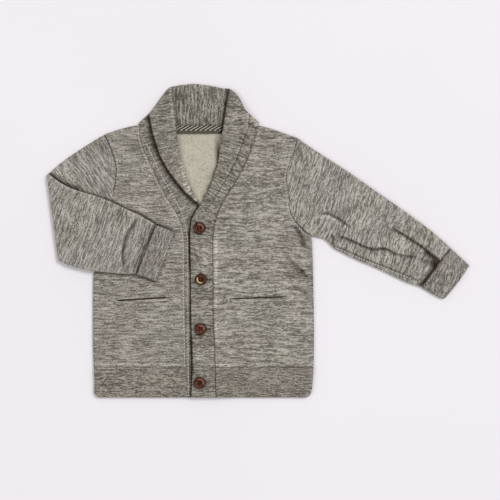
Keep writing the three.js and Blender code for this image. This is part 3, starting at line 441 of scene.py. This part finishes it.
def refined(node, level):
    """A finer copy of a CAD node's mesh, as an object of its own."""
    bm = bmesh.new()
    bm.from_mesh(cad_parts[node].data)
    firm_edges(bm, node)
    coarse = bpy.data.meshes.new(node + "_coarse")
    bm.to_mesh(coarse)
    bm.free()
    holder = bpy.data.objects.new(node + "_coarse", coarse)
    bpy.context.scene.collection.objects.link(holder)
    modifier = holder.modifiers.new("finer", "SUBSURF")
    modifier.levels = level
    modifier.render_levels = level
    evaluated = holder.evaluated_get(bpy.context.evaluated_depsgraph_get())
    fine = bpy.data.meshes.new_from_object(evaluated)
    fine.materials.clear()
    bpy.data.objects.remove(holder)
    bpy.data.meshes.remove(coarse)
    piece = bpy.data.objects.new(node + "_cloth", fine)
    bpy.context.scene.collection.objects.link(piece)
    return piece


def points_of(mesh):
    """A mesh's vertices in the garment's millimetres."""
    co = np.zeros(len(mesh.vertices) * 3)
    mesh.vertices.foreach_get("co", co)
    p = co.reshape(-1, 3) / MM
    p[:, 0] -= ROW_SHIFT
    return p


def set_points(mesh, p):
    """Moves a mesh's vertices to places in the garment's millimetres."""
    moved = p.copy()
    moved[:, 0] += ROW_SHIFT
    mesh.vertices.foreach_set("co", (moved * MM).ravel())
    mesh.update()


def face_normals(mesh):
    """The normals of a mesh's faces, a row for each."""
    n = np.zeros(len(mesh.polygons) * 3)
    mesh.polygons.foreach_get("normal", n)
    return n.reshape(-1, 3)


def give(mesh, name, values):
    """Stores a number or a vector for each vertex under a name that a material reads."""
    values = np.asarray(values, np.float32)
    kind, field = ("FLOAT", "value") if values.ndim == 1 else ("FLOAT_VECTOR", "vector")
    attribute = mesh.attributes.new(name, kind, "POINT")
    attribute.data.foreach_set(field, values.ravel())


def tube_faces(first, stations, sides):
    """The faces of a tube, shut at both ends, whose rings of vertices follow one another."""
    faces = []
    for k in range(stations - 1):
        for side in range(sides):
            a = first + k * sides + side
            b = first + k * sides + (side + 1) % sides
            faces.append((a, b, b + sides, a + sides))
    faces.append(tuple(first + side for side in reversed(range(sides))))
    faces.append(tuple(first + (stations - 1) * sides + side for side in range(sides)))
    return faces


def sewn_piece(name, verts, faces, material):
    """A small piece of sewing from places in the garment's millimetres."""
    mesh = bpy.data.meshes.new(name)
    mesh.from_pydata([((x + ROW_SHIFT) * MM, y * MM, z * MM) for x, y, z in verts], [], faces)
    mesh.materials.append(material)
    mesh.polygons.foreach_set("use_smooth", [True] * len(mesh.polygons))
    mesh.update()
    piece = bpy.data.objects.new(name, mesh)
    bpy.context.scene.collection.objects.link(piece)
    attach(piece, "root")
    return piece


# Cloth


def layers(node, p):
    """Which points belong to each layer of a piece: only the folded sleeve has two."""
    x, y, z = p.T
    if node not in ("sleeve_right", "cuff_right"):
        return {node: np.ones(len(x), bool)}
    _, beyond, _ = along(FOREARM_EDGE, x, y)
    starts = np.interp(x, *zip(*FOREARM_STARTS))
    top = (beyond < FOREARM_RIM) & (z > starts)
    return {"upper_arm": ~top, "forearm" if node == "sleeve_right" else node: top}


def softness(layer, z):
    """How far each point follows the creases: 0 in a hidden lower wall, 1 in what lies on top."""
    low = SOFT_ABOVE.get(layer, SOFT_ABOVE_TABLE)
    return smooth((z - low) / SOFT_OVER) * (UPPER_ARM_GIVES if layer == "upper_arm" else 1)


def lifted(node, p):
    """Height that creases and the cloth's own unevenness add at each point."""
    x, y, z = p.T
    uneven = waves(UNEVEN, x, y)
    height = np.zeros(len(x))
    for layer, inside in layers(node, p).items():
        own = uneven.copy()
        for names, line, left, right, high in CREASES:
            if layer in names.split():
                own += crease(line, left, right, high, x, y)
        height += np.where(inside, own * softness(layer, z), 0)
    return height


def toned(node, p):
    """Share of its colour that each point keeps: below 1 in a fold's painted shadow, above 1 on a crest's
    painted light, together with the patches of lighter and darker yarn and the buttons' painted shadows.
    """
    x, y, _ = p.T
    tone = np.ones(len(x))
    for layer, inside in layers(node, p).items():
        for names, line, left, right, share, fade in TONES:
            if layer not in names.split():
                continue
            where, aside, length = along(line, x, y)
            reach = np.where(aside > 0, max(left, LEAST_REACH), max(right, LEAST_REACH))
            ends = smooth(where / fade) * smooth((length - where) / fade)
            tone *= np.where(inside, 1 + share * ends * hump(np.abs(aside) / reach), 1)
        for names, across, up, wide, high, share in PATCHES:
            if layer in names.split():
                away = np.hypot((x - across) / wide, (y - up) / high)
                tone *= np.where(inside, 1 + share * hump(away), 1)
    if node == "collar_band_left":
        near, far = BUTTON_SHADE["from"], BUTTON_SHADE["to"]
        for (across, up), _ in BUTTONS.values():
            off = np.hypot(x - across - BUTTON_SHADE["across"], y - up - BUTTON_SHADE["up"])
            tone *= 1 + BUTTON_SHADE["share"] * smooth((far - off) / (far - near))
    return tone


def courses(node, p):
    """Cloth places in metres: across the streaks' line, along it, and a third that sets pieces apart."""
    x, y, _ = p.T
    u, v, w = np.zeros(len(x)), np.zeros(len(x)), np.zeros(len(x))
    for i, (layer, inside) in enumerate(layers(node, p).items()):
        where, aside, _ = along(GRAIN.get(layer, UP_THE_BODY), x, y)
        u, v = np.where(inside, aside, u), np.where(inside, where, v)
        w = np.where(inside, PIECES_APART * sorted(SHEETS).index(node) + LAYERS_APART * i, w)
    if node in STANDS:
        roll, side = STANDS[node]
        _, aside, _ = along(roll, x, y)
        stand = (side * aside > 0) & (y > STAND_LOW)
        u, v = np.where(stand, y, u), np.where(stand, x / STAND_COARSER, v)
    v = v + LEAN.get(node, 0) * u + waves(WANDER, x, y)
    return np.stack([u, v, w], axis=1) * MM


def pulled(p):
    """The points after the small corrections of the outline."""
    moved = p.copy()
    for x, y, reach, across, up in PULLS:
        share = hump(np.hypot(p[:, 0] - x, p[:, 1] - y) / reach)
        moved[:, 0] += share * across
        moved[:, 1] += share * up
    return moved


def cloth(node, material, lining):
    """The dressed piece that stands for a CAD node of cloth, with its lining's material or none."""
    piece = refined(node, LEVELS.get(node, OTHER_LEVEL))
    mesh = piece.data
    p = pulled(points_of(mesh))
    give(mesh, "cloth", courses(node, p))
    give(mesh, "tone", toned(node, p))
    height = lifted(node, p)
    if FLAT_PIECES.get(node):
        _, aside, _ = along(FLAT_SEAM, p[:, 0], p[:, 1])
        p[:, 0] += FLAT_PIECES[node] * smooth(1 - np.abs(aside) / FLAT_REACH)
    p[:, 2] += height
    set_points(mesh, p)
    mesh.materials.append(material)
    if lining:
        mesh.materials.append(lining)
        inside = face_normals(mesh)[:, 2] * (1 if node == "back" else -1) > 0.5
        mesh.polygons.foreach_set("material_index", inside.astype(int))
    mesh.polygons.foreach_set("use_smooth", [True] * len(mesh.polygons))
    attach(piece, "root")
    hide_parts(node)
    return piece


def top_of(tree, x, y):
    """Height in millimetres and normal of the topmost face at a place, or nothing beside the piece."""
    above = 100
    start = Vector(((x + ROW_SHIFT) * MM, y * MM, above * MM))
    hit, normal, _, _ = tree.ray_cast(start, Vector((0, 0, -1)))
    if hit is None:
        return None, None
    return hit.z / MM, normal


# Materials


class Shader:
    """A node material that is put together call by call."""

    def __init__(self, name):
        self.material = bpy.data.materials.new(name)
        self.material.use_nodes = True
        self.tree = self.material.node_tree
        self.tree.nodes.clear()
        self.output = self.tree.nodes.new("ShaderNodeOutputMaterial")
        self.surface = self.tree.nodes.new("ShaderNodeBsdfPrincipled")
        self.tree.links.new(self.surface.outputs[0], self.output.inputs[0])

    def node(self, kind, inputs=(), **settings):
        """A new node with its settings made and its inputs put in."""
        made = self.tree.nodes.new("ShaderNode" + kind)
        for key, value in settings.items():
            setattr(made, key, value)
        for key, value in dict(inputs).items():
            self.put(made.inputs[key], value)
        return made

    def put(self, socket, value):
        """Links another node's output to a socket, or sets a constant on it."""
        if isinstance(value, bpy.types.NodeSocket):
            self.tree.links.new(value, socket)
        else:
            socket.default_value = value

    def set(self, name, value):
        """Puts a value into the surface itself."""
        self.put(self.surface.inputs[name], value)

    def math(self, operation, a, b=0.0, clamp=False):
        """One step of arithmetic."""
        made = self.node("Math", {0: a, 1: b}, operation=operation, use_clamp=clamp)
        return made.outputs[0]

    def stretch(self, vector, x, y, z):
        """A place with each of its axes scaled."""
        made = self.node("VectorMath", {0: vector, 1: (x, y, z)}, operation="MULTIPLY")
        return made.outputs[0]

    def noise(self, vector, scale, detail=2.0, rough=0.5):
        """Cloudy noise from 0 to 1."""
        made = self.node(
            "TexNoise", {"Vector": vector, "Scale": scale, "Detail": detail, "Roughness": rough}
        )
        return made.outputs["Fac"]

    def blend(self, share, a, b, how="MIX"):
        """A share of the second colour laid over the first."""
        made = self.tree.nodes.new("ShaderNodeMix")
        made.data_type = "RGBA"
        made.blend_type = how
        made.clamp_factor = True
        self.put(made.inputs[0], share)
        self.put(made.inputs[6], a)
        self.put(made.inputs[7], b)
        return made.outputs[2]

    def times(self, a, b):
        """Two colours multiplied."""
        return self.blend(1.0, a, b, "MULTIPLY")

    def ramp(self, value, stops):
        """A colour that a value picks from some stops."""
        made = self.node("ValToRGB", {"Fac": value})
        elements = made.color_ramp.elements
        elements.remove(elements[1])
        for i, (place, colour) in enumerate(stops):
            element = elements[0] if i == 0 else elements.new(place)
            element.position = place
            element.color = colour
        return made.outputs["Color"]

    def bump(self, height, distance):
        """Fine relief, as deep as that distance in metres."""
        made = self.node("Bump", {"Height": height, "Distance": distance, "Strength": 1.0})
        self.set("Normal", made.outputs[0])


def rgb(red, green, blue):
    """A colour with channels from 0 to 255 as the renderer's linear one."""
    channels = [c / 255 for c in (red, green, blue)]
    return tuple(c / 12.92 if c < 0.04045 else ((c + 0.055) / 1.055) ** 2.4 for c in channels) + (1,)


BLACK, WHITE = (0, 0, 0, 1), (1, 1, 1, 1)
DEEP_SHADE = (0.06, 0.024, 0.0, 1)  # what is left of a colour in the darkest fold: a warm shadow


def toned_colour(s, colour):
    """A colour times its tone: the light and shade that the folds leave it, painted in, with the yarn's
    patches.
    """
    tone = s.node("Attribute", attribute_name="tone").outputs["Fac"]
    colour = s.times(colour, s.blend(tone, DEEP_SHADE, WHITE))
    return s.times(colour, s.math("MAXIMUM", tone, 1.0))


def melange(name, dark, middle, light, length=0.0086, pitch=0.00155, contrast=1.0):
    """Melange terry: streaks of lighter and darker yarn along the courses, over a fine heather.

    Length and pitch are a streak's, in metres. Each noise has its grains to the metre along the courses,
    across them and from piece to piece.
    """
    s = Shader(name)
    place = s.node("Attribute", attribute_name="cloth").outputs["Vector"]
    strokes = s.noise(s.stretch(place, 1 / length, 1 / pitch, 300), 1.0, 2.0, 0.6)
    slubs = s.noise(s.stretch(place, 0.4 / length, 0.7 / pitch, 500), 1.0, 1.0, 0.5)
    heather = s.noise(s.stretch(place, 420, 900, 500), 1.0, 1.0, 0.6)
    patches = s.noise(s.stretch(place, 26, 60, 100), 1.0, 2.0, 0.5)
    value = 0.5
    for noise, weight in ((strokes, 1.8), (slubs, 1.05), (heather, 1.6), (patches, 0.4)):
        part = s.math("MULTIPLY", s.math("SUBTRACT", noise, 0.5), weight * contrast)
        value = s.math("ADD", part, value)
    value = s.math("ADD", value, 0.0, clamp=True)
    colour = s.ramp(value, [(0.12, dark), (0.5, middle), (0.88, light)])
    tint = s.noise(s.stretch(place, 14, 18, 50), 1.0, 1.0, 0.5)
    warm = s.ramp(tint, [(0.35, (0.995, 1.0, 0.98, 1)), (0.65, (1.015, 0.99, 1.0, 1))])
    s.set("Base Color", toned_colour(s, s.times(colour, warm)))
    s.set("Roughness", 0.95)
    s.set("Specular IOR Level", 0.15)
    s.set("Sheen Weight", 0.1)
    s.set("Sheen Roughness", 0.6)
    relief = s.math("ADD", strokes, s.math("MULTIPLY", slubs, 0.8))
    relief = s.math("ADD", relief, s.math("MULTIPLY", heather, 0.6))
    s.bump(relief, 0.0008)
    return s.material


def fleece(name):
    """Brushed cream reverse: short tangled fibres."""
    s = Shader(name)
    place = s.node("TexCoord").outputs["Object"]
    nubs = s.noise(place, 420, 3.0, 0.65)
    clouds = s.noise(place, 34, 2.0, 0.5)
    value = s.math("ADD", s.math("MULTIPLY", nubs, 0.6), s.math("MULTIPLY", clouds, 0.4))
    shades = [(0.36, rgb(164, 158, 140)), (0.5, rgb(188, 183, 166)), (0.64, rgb(202, 198, 182))]
    colour = s.ramp(value, shades)
    s.set("Base Color", toned_colour(s, colour))
    s.set("Roughness", 0.98)
    s.set("Specular IOR Level", 0.1)
    s.set("Sheen Weight", 0.25)
    s.bump(nubs, 0.0008)
    return s.material


# Herringbone tape: where its stripes turn, where they end above the plain edge, their pitch and slant
TAPE_TURN = 140.9
TAPE_PLAIN = 140.2
TAPE_PITCH = 6.17
TAPE_SLANT = 1.75


def herringbone(name):
    """Neck tape: slanted off-white stripes on a dark ground, over a plain edge."""
    s = Shader(name)
    place = s.node("TexCoord").outputs["Object"]
    split = s.node("SeparateXYZ", {0: place})
    x, y = split.outputs[0], split.outputs[1]
    from_turn = s.math("ABSOLUTE", s.math("SUBTRACT", y, TAPE_TURN * MM))
    slanted = s.math("SUBTRACT", x, s.math("MULTIPLY", from_turn, TAPE_SLANT))
    phase = s.math("FRACT", s.math("DIVIDE", slanted, TAPE_PITCH * MM))
    wave = s.math("ABSOLUTE", s.math("SUBTRACT", phase, 0.5))
    stripe = s.ramp(s.math("MULTIPLY", wave, 2.0), [(0.6, rgb(64, 60, 52)), (0.83, rgb(190, 186, 175))])
    fine = s.noise(place, 900, 2.0, 0.5)
    plain = s.ramp(fine, [(0.3, rgb(74, 70, 60)), (0.7, rgb(98, 94, 82))])
    striped = s.math("MULTIPLY", s.math("SUBTRACT", y, TAPE_PLAIN * MM), 4000, clamp=True)
    s.set("Base Color", toned_colour(s, s.blend(striped, plain, stripe)))
    s.set("Roughness", 0.85)
    s.set("Specular IOR Level", 0.2)
    s.bump(s.math("ADD", fine, wave), 0.0004)
    return s.material


def thread(name, colour):
    """Twisted sewing thread."""
    s = Shader(name)
    place = s.node("TexCoord").outputs["Object"]
    twist = s.noise(place, 1600, 1.0, 0.5)
    darker = tuple(0.72 * c for c in colour[:3]) + (1,)
    s.set("Base Color", s.ramp(twist, [(0.35, darker), (0.6, colour)]))
    s.set("Roughness", 0.8)
    s.set("Specular IOR Level", 0.12)
    s.bump(twist, 0.0003)
    return s.material


# Buttons: how far the groove and the rim are from the middle, and the side and colour of the crescent of
# painted highlight
BUTTON_FACE, BUTTON_RIM = 5.2, 7.0
GLINT = {"reddish": ((0.66, 0.75, 0), rgb(150, 102, 84)), "amber": ((-0.75, -0.66, 0), rgb(216, 190, 128))}


def horn(name, centre, kind, face, streak, bright, edge):
    """Polished horn effect on one button: cloudy face, painted shade round the holes and in the groove, a
    crescent of painted highlight and a dark edge.
    """
    s = Shader(name)
    place = s.node("TexCoord").outputs["Object"]
    middle = ((centre[0] + ROW_SHIFT) * MM, centre[1] * MM, 0)
    flat = s.stretch(s.node("VectorMath", {0: place, 1: middle}, operation="SUBTRACT").outputs[0], 1, 1, 0)
    length = s.node("VectorMath", {0: flat}, operation="LENGTH").outputs["Value"]
    away = s.math("DIVIDE", length, BUTTON_RIM * MM, clamp=True)
    clouds = s.noise(s.stretch(place, 1.0, 1.6, 1.0), 260, 3.0, 0.6)
    colour = s.ramp(clouds, [(0.34, streak), (0.5, face), (0.68, bright)])
    groove = BUTTON_FACE / BUTTON_RIM
    # Painted shade: darker round the holes and in the groove; a little lighter just inside the edge
    ring = s.ramp(
        away,
        [
            (0.0, (0.7, 0.42, 0.3, 1)),
            (0.3, (0.62, 0.38, 0.3, 1)),
            (0.44, WHITE),
            (groove - 0.14, WHITE),
            (groove, (0.35, 0.35, 0.33, 1)),
            (0.86, (1.1, 1.05, 1, 1)),
        ],
    )
    colour = s.times(colour, ring)
    # Painted highlight: a lighter crescent inside the rim on the side that GLINT gives
    towards, light = GLINT[kind]
    facing = s.node("VectorMath", {0: flat, 1: towards}, operation="DOT_PRODUCT").outputs["Value"]
    facing = s.math("DIVIDE", facing, s.math("ADD", length, 1e-5))
    crescent = s.ramp(away, [(0.52, BLACK), (0.62, WHITE), (0.7, WHITE), (0.8, BLACK)])
    sector = s.math("MULTIPLY", s.math("SUBTRACT", facing, 0.15), 2.2, clamp=True)
    colour = s.blend(s.math("MULTIPLY", crescent, sector), colour, light)
    colour = s.blend(s.math("MULTIPLY", s.math("SUBTRACT", away, 0.86), 12, clamp=True), colour, edge)
    s.set("Base Color", colour)
    s.set("Roughness", 0.4)
    s.set("Specular IOR Level", 0.22)
    s.set("Coat Weight", 0.06)
    s.set("Coat Roughness", 0.2)
    s.bump(clouds, 0.0001)
    return s.material


def shadowed(name, colour):
    """Painted shade: the dark that shows in a slit's opening."""
    s = Shader(name)
    fine = s.noise(s.node("TexCoord").outputs["Object"], 900, 2.0, 0.5)
    darker = tuple(0.6 * c for c in colour[:3]) + (1,)
    s.set("Base Color", s.ramp(fine, [(0.35, darker), (0.65, colour)]))
    s.set("Roughness", 1.0)
    s.set("Specular IOR Level", 0.0)
    return s.material


BODY = melange("terry", rgb(96, 92, 84), rgb(141, 136, 127), rgb(184, 180, 171))
SLEEVE = melange("terry_sleeve", rgb(98, 95, 88), rgb(145, 142, 134), rgb(188, 185, 177))
COLLAR = melange("terry_collar", rgb(80, 76, 68), rgb(125, 121, 112), rgb(171, 167, 157))
HEM = melange("band", rgb(84, 78, 71), rgb(126, 120, 111), rgb(170, 163, 154), 0.0076, 0.0012, 1.1)
CUFF = melange("band_cuff", rgb(92, 87, 81), rgb(131, 126, 120), rgb(174, 170, 164), 0.0055, 0.0012)
FLEECE = fleece("fleece")
TAPE = herringbone("neck_tape")
THREAD = thread("thread", rgb(206, 203, 194))
DARK_THREAD = thread("dark_thread", rgb(36, 19, 12))
BUTTONHOLE_THREAD = thread("buttonhole_thread", rgb(112, 98, 82))
# Painted shade for the openings of the pocket slits and the buttonholes
SLIT_SHADE = shadowed("painted_slit_shade", rgb(52, 46, 40))

DRESSED = [
    ("back front_left front_right", BODY, "terry", FLEECE),
    ("collar_band_left collar_band_right", COLLAR, "terry", None),
    ("sleeve_left sleeve_right", SLEEVE, "terry", None),
    ("pocket_welt_left pocket_welt_right", BODY, "terry", None),
    ("hem_back hem_left hem_right", HEM, "band_terry", None),
    ("cuff_left cuff_right", CUFF, "band_terry", None),
    ("neck_tape", TAPE, "neck_tape", None),
]
pieces = {}
for nodes, material, slot, lining in DRESSED:
    for node in nodes.split():
        pieces[node] = cloth(node, material, lining)


# Sewing

# Stitches: length, pitch, width, height, where a row's first one starts, and how blunt their ends are
STITCH = {"long": 2.7, "pitch": 3.9, "wide": 1.3, "high": 0.5, "first": 0.6, "blunt": 0.12}
STEEP = 0.5  # a stitch is left out where the cloth's normal rises less than this

# Rows of topstitching: name, the piece that they are sewn on, and their places
TOPSTITCHING = [
    (
        "topstitch_front_right",
        "front_right",
        [
            (-153.8, 145.4), (-150.9, 125.6), (-146.6, 112.5), (-136, 89), (-124.6, 66), (-118.5, 54),
            (-104.8, 33), (-98.4, 18), (-95.4, 3), (-94.9, -80), (-93.3, -162),
        ],
    ),
    (
        "topstitch_band_right",
        "collar_band_right",
        [
            (-142, 124), (-138.7, 115.8), (-127.6, 91.5), (-115.1, 69.4), (-104.6, 50), (-96.2, 34),
            (-91.6, 16), (-89.6, 0.6), (-89.3, -80), (-88.6, -200),
        ],
    ),
    ("topstitch_sleeve_left", "sleeve_left", [(98.5, -9), (139.8, -26.4), (195.7, -48.8)]),
    (
        "topstitch_front_left",
        "front_left",
        [
            (41.5, 113), (36.9, 92.5), (34.6, 82), (34.8, 73), (36.9, 55.7), (38, 46), (41, 32),
            (49, 20), (59, 8.5), (65, 4),
        ],
    ),
]

# Slits: how far apart their stations are, how steeply they widen from each point, how high they lie
SLIT = {"step": 1.5, "point": 9, "lift": 0.45}
POCKETS = {
    "right": {
        "slit": [(-182.5, -76.9), (-110.8, -72.6)],
        "wide": 1.7,
        "tacks": [
            [(-186, -74), (-186.4, -84)],
            [(-108.5, -70), (-107.5, -75)],
            [(-186, -74), (-181, -74.5)],
        ],
    },
    "left": {
        "slit": [(-37, -74.6), (38.5, -71.8)],
        "wide": 1.6,
        "tacks": [
            [(-37, -72), (-37.4, -82)],
            [(38, -69.5), (41, -79)],
            [(-37, -72), (-33, -71.5)],
        ],
    },
}

# Buttonholes: where they start and end beside a button's middle, their width, how far to the slit's
# sides their stitches run, and how far past its end
BUTTONHOLE = {"from": 6.0, "to": 13.5, "wide": 0.7, "border": 1.3, "past": 1}


def stitches(name, on, lines, material=THREAD):
    """Rows of topstitching: one small rounded stitch after another, lying on a piece."""
    tree = tree_of(pieces[on])
    verts, faces = [], []
    sides, stations = 6, 5
    long, blunt = STITCH["long"], STITCH["blunt"]
    for line in lines:
        line, _, _, starts = measured(line)
        for start in np.arange(STITCH["first"], starts[-1] - long, STITCH["pitch"]):
            ends = [start, start + long]
            x = np.interp(ends, starts, line[:, 0])
            y = np.interp(ends, starts, line[:, 1])
            z, normal = top_of(tree, x.mean(), y.mean())
            if z is None or normal.z < STEEP:
                continue
            forward = np.array([x[1] - x[0], y[1] - y[0]]) / long
            tilt = -(normal.x * forward[0] + normal.y * forward[1]) / normal.z
            faces += tube_faces(len(verts), stations, sides)
            for k in range(stations):
                t = k / (stations - 1)
                swell = math.sin(math.pi * (blunt + (1 - 2 * blunt) * t)) ** 0.5
                cx, cy = np.interp(t, [0, 1], x), np.interp(t, [0, 1], y)
                cz = z + tilt * (t - 0.5) * long
                for side in range(sides):
                    angle = 2 * math.pi * side / sides
                    out = math.cos(angle) * STITCH["wide"] / 2 * swell
                    up = math.sin(angle) * STITCH["high"] * swell
                    verts.append((cx - forward[1] * out, cy + forward[0] * out, cz + up))
    return sewn_piece(name, verts, faces, material)


def slit(name, on, line, wide):
    """A dark sheet of painted shade where a slit opens, pointed at both ends, lying on the topmost of some
    pieces.
    """
    trees = [tree_of(pieces[node]) for node in on]
    line, _, _, starts = measured(line)
    count = max(4, round(starts[-1] / SLIT["step"]))
    verts, faces = [], []
    for k in range(count + 1):
        place = starts[-1] * k / count
        x, y = np.interp(place, starts, line[:, 0]), np.interp(place, starts, line[:, 1])
        half = wide / 2 * min(1, SLIT["point"] * min(k, count - k) / count)
        spots = [top_of(tree, x, y + side * half)[0] or 0 for tree in trees for side in (-1, 0, 1)]
        z = max(spots) + SLIT["lift"]
        verts += [(x, y - half, z), (x, y + half, z)]
        if k:
            faces.append((2 * k - 2, 2 * k, 2 * k + 1, 2 * k - 1))
    return sewn_piece(name, verts, faces, SLIT_SHADE)


sewing = {node: [] for node in SHEETS}
for name, on, line in TOPSTITCHING:
    sewing[on].append(stitches(name, on, [line]))
for side, pocket in POCKETS.items():
    front = "front_" + side
    opening = slit("pocket_slit_" + side, [front, "pocket_welt_" + side], pocket["slit"], pocket["wide"])
    sewing[front] += [opening, stitches("pocket_tacks_" + side, front, pocket["tacks"])]

# Buttons

# Horn effect: face, streaks, bright clouds and edge
HORN = {
    "reddish": (rgb(84, 37, 20), rgb(42, 14, 6), rgb(136, 76, 46), rgb(46, 25, 12)),
    "amber": (rgb(72, 38, 10), rgb(32, 15, 4), rgb(126, 80, 28), rgb(44, 27, 9)),
}
HOLE_OFF = 1.7  # from the button's middle to a hole's, across and up
THREAD_WIDE = 0.9


def sewn_on(name, centre):
    """The threads that cross a button's face between its holes and dip into them."""
    face, _ = top_of(tree_of(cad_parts[name]), *centre)
    verts, faces = [], []
    stations, sides = 7, 6
    arch, dip, half = 0.5 * THREAD_WIDE, 1.2 * THREAD_WIDE, 1.15 * HOLE_OFF
    for across in (-HOLE_OFF, HOLE_OFF):
        faces += tube_faces(len(verts), stations, sides)
        for k in range(stations):
            t = 2 * k / (stations - 1) - 1
            for side in range(sides):
                angle = 2 * math.pi * side / sides
                x = centre[0] + across + THREAD_WIDE / 2 * math.cos(angle)
                z = face + arch - dip * t**4 + THREAD_WIDE / 2 * math.sin(angle)
                verts.append((x, centre[1] + half * t, z))
    sewn_piece(name + "_thread", verts, faces, DARK_THREAD)


def buttonhole(name, centre):
    """A buttonhole beside a button and the stitches round it."""
    on = "collar_band_left"
    start, stop = centre[0] + BUTTONHOLE["from"], centre[0] + BUTTONHOLE["to"]
    end = stop + BUTTONHOLE["past"]
    y = centre[1]
    low, high = y - BUTTONHOLE["border"], y + BUTTONHOLE["border"]
    opening = slit(name + "_buttonhole", [on], [(start, y), (stop, y)], BUTTONHOLE["wide"])
    round_it = [[(start, high), (end, high)], [(start, low), (end, low)], [(end, low), (end, high)]]
    return [opening, stitches(name + "_buttonhole_sewing", on, round_it, BUTTONHOLE_THREAD)]


for name, (centre, kind) in BUTTONS.items():
    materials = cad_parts[name].data.materials
    materials.clear()
    materials.append(horn(name + "_horn", centre, kind, *HORN[kind]))
    sewn_on(name, centre)
    sewing["collar_band_left"] += buttonhole(name, centre)

# Floor, light and camera

FLOOR_HALF, FLOOR_LOW = 4.0, -0.0004  # metres
CAMERA_HIGH, SHOWN_WIDTH = 2.4, 0.640  # metres
SENSOR = 36  # millimetres
SKY, SKY_STRENGTH = (1.0, 0.985, 1.0, 1), 0.5
# The place in the middle of the picture
AIM = Vector(((-9.9 + ROW_SHIFT) * MM, -12.2 * MM, 0))

floor_mesh = bpy.data.meshes.new("floor")
corners = [(sx * FLOOR_HALF, sy * FLOOR_HALF, FLOOR_LOW) for sx, sy in ((-1, -1), (1, -1), (1, 1), (-1, 1))]
floor_mesh.from_pydata(corners, [], [(0, 1, 2, 3)])
floor = bpy.data.objects.new("floor", floor_mesh)
bpy.context.scene.collection.objects.link(floor)
paper = Shader("paper")
grain = paper.noise(paper.node("TexCoord").outputs["Object"], 3.0, 2.0, 0.5)
paper.set("Base Color", paper.ramp(grain, [(0.3, (0.87, 0.845, 0.87, 1)), (0.7, (0.89, 0.865, 0.89, 1))]))
paper.set("Roughness", 1.0)
paper.set("Specular IOR Level", 0.0)
floor_mesh.materials.append(paper.material)

world = bpy.data.worlds.new("studio")
world.use_nodes = True
background = world.node_tree.nodes["Background"]
background.inputs["Color"].default_value = SKY
background.inputs["Strength"].default_value = SKY_STRENGTH
bpy.context.scene.world = world


def area_light(name, place, size, watts):
    """A round soft light that looks at the garment."""
    data = bpy.data.lights.new(name, "AREA")
    data.shape = "DISK"
    data.size = size
    data.energy = watts
    lamp = bpy.data.objects.new(name, data)
    lamp.location = AIM + Vector(place)
    lamp.rotation_euler = (-Vector(place)).to_track_quat("-Z", "Y").to_euler()
    bpy.context.scene.collection.objects.link(lamp)


area_light("key", (3.65, 2.55, 6.75), 3.0, 295)
area_light("fill", (-3.5, -1.6, 5.9), 4.0, 88)

camera_data = bpy.data.cameras.new("camera")
camera_data.sensor_width = SENSOR
camera_data.lens = SENSOR * CAMERA_HIGH / SHOWN_WIDTH
camera = bpy.data.objects.new("camera", camera_data)
camera.location = AIM + Vector((0, 0, CAMERA_HIGH))
bpy.context.scene.collection.objects.link(camera)
bpy.context.scene.camera = camera
bpy.context.scene.view_settings.view_transform = "Standard"
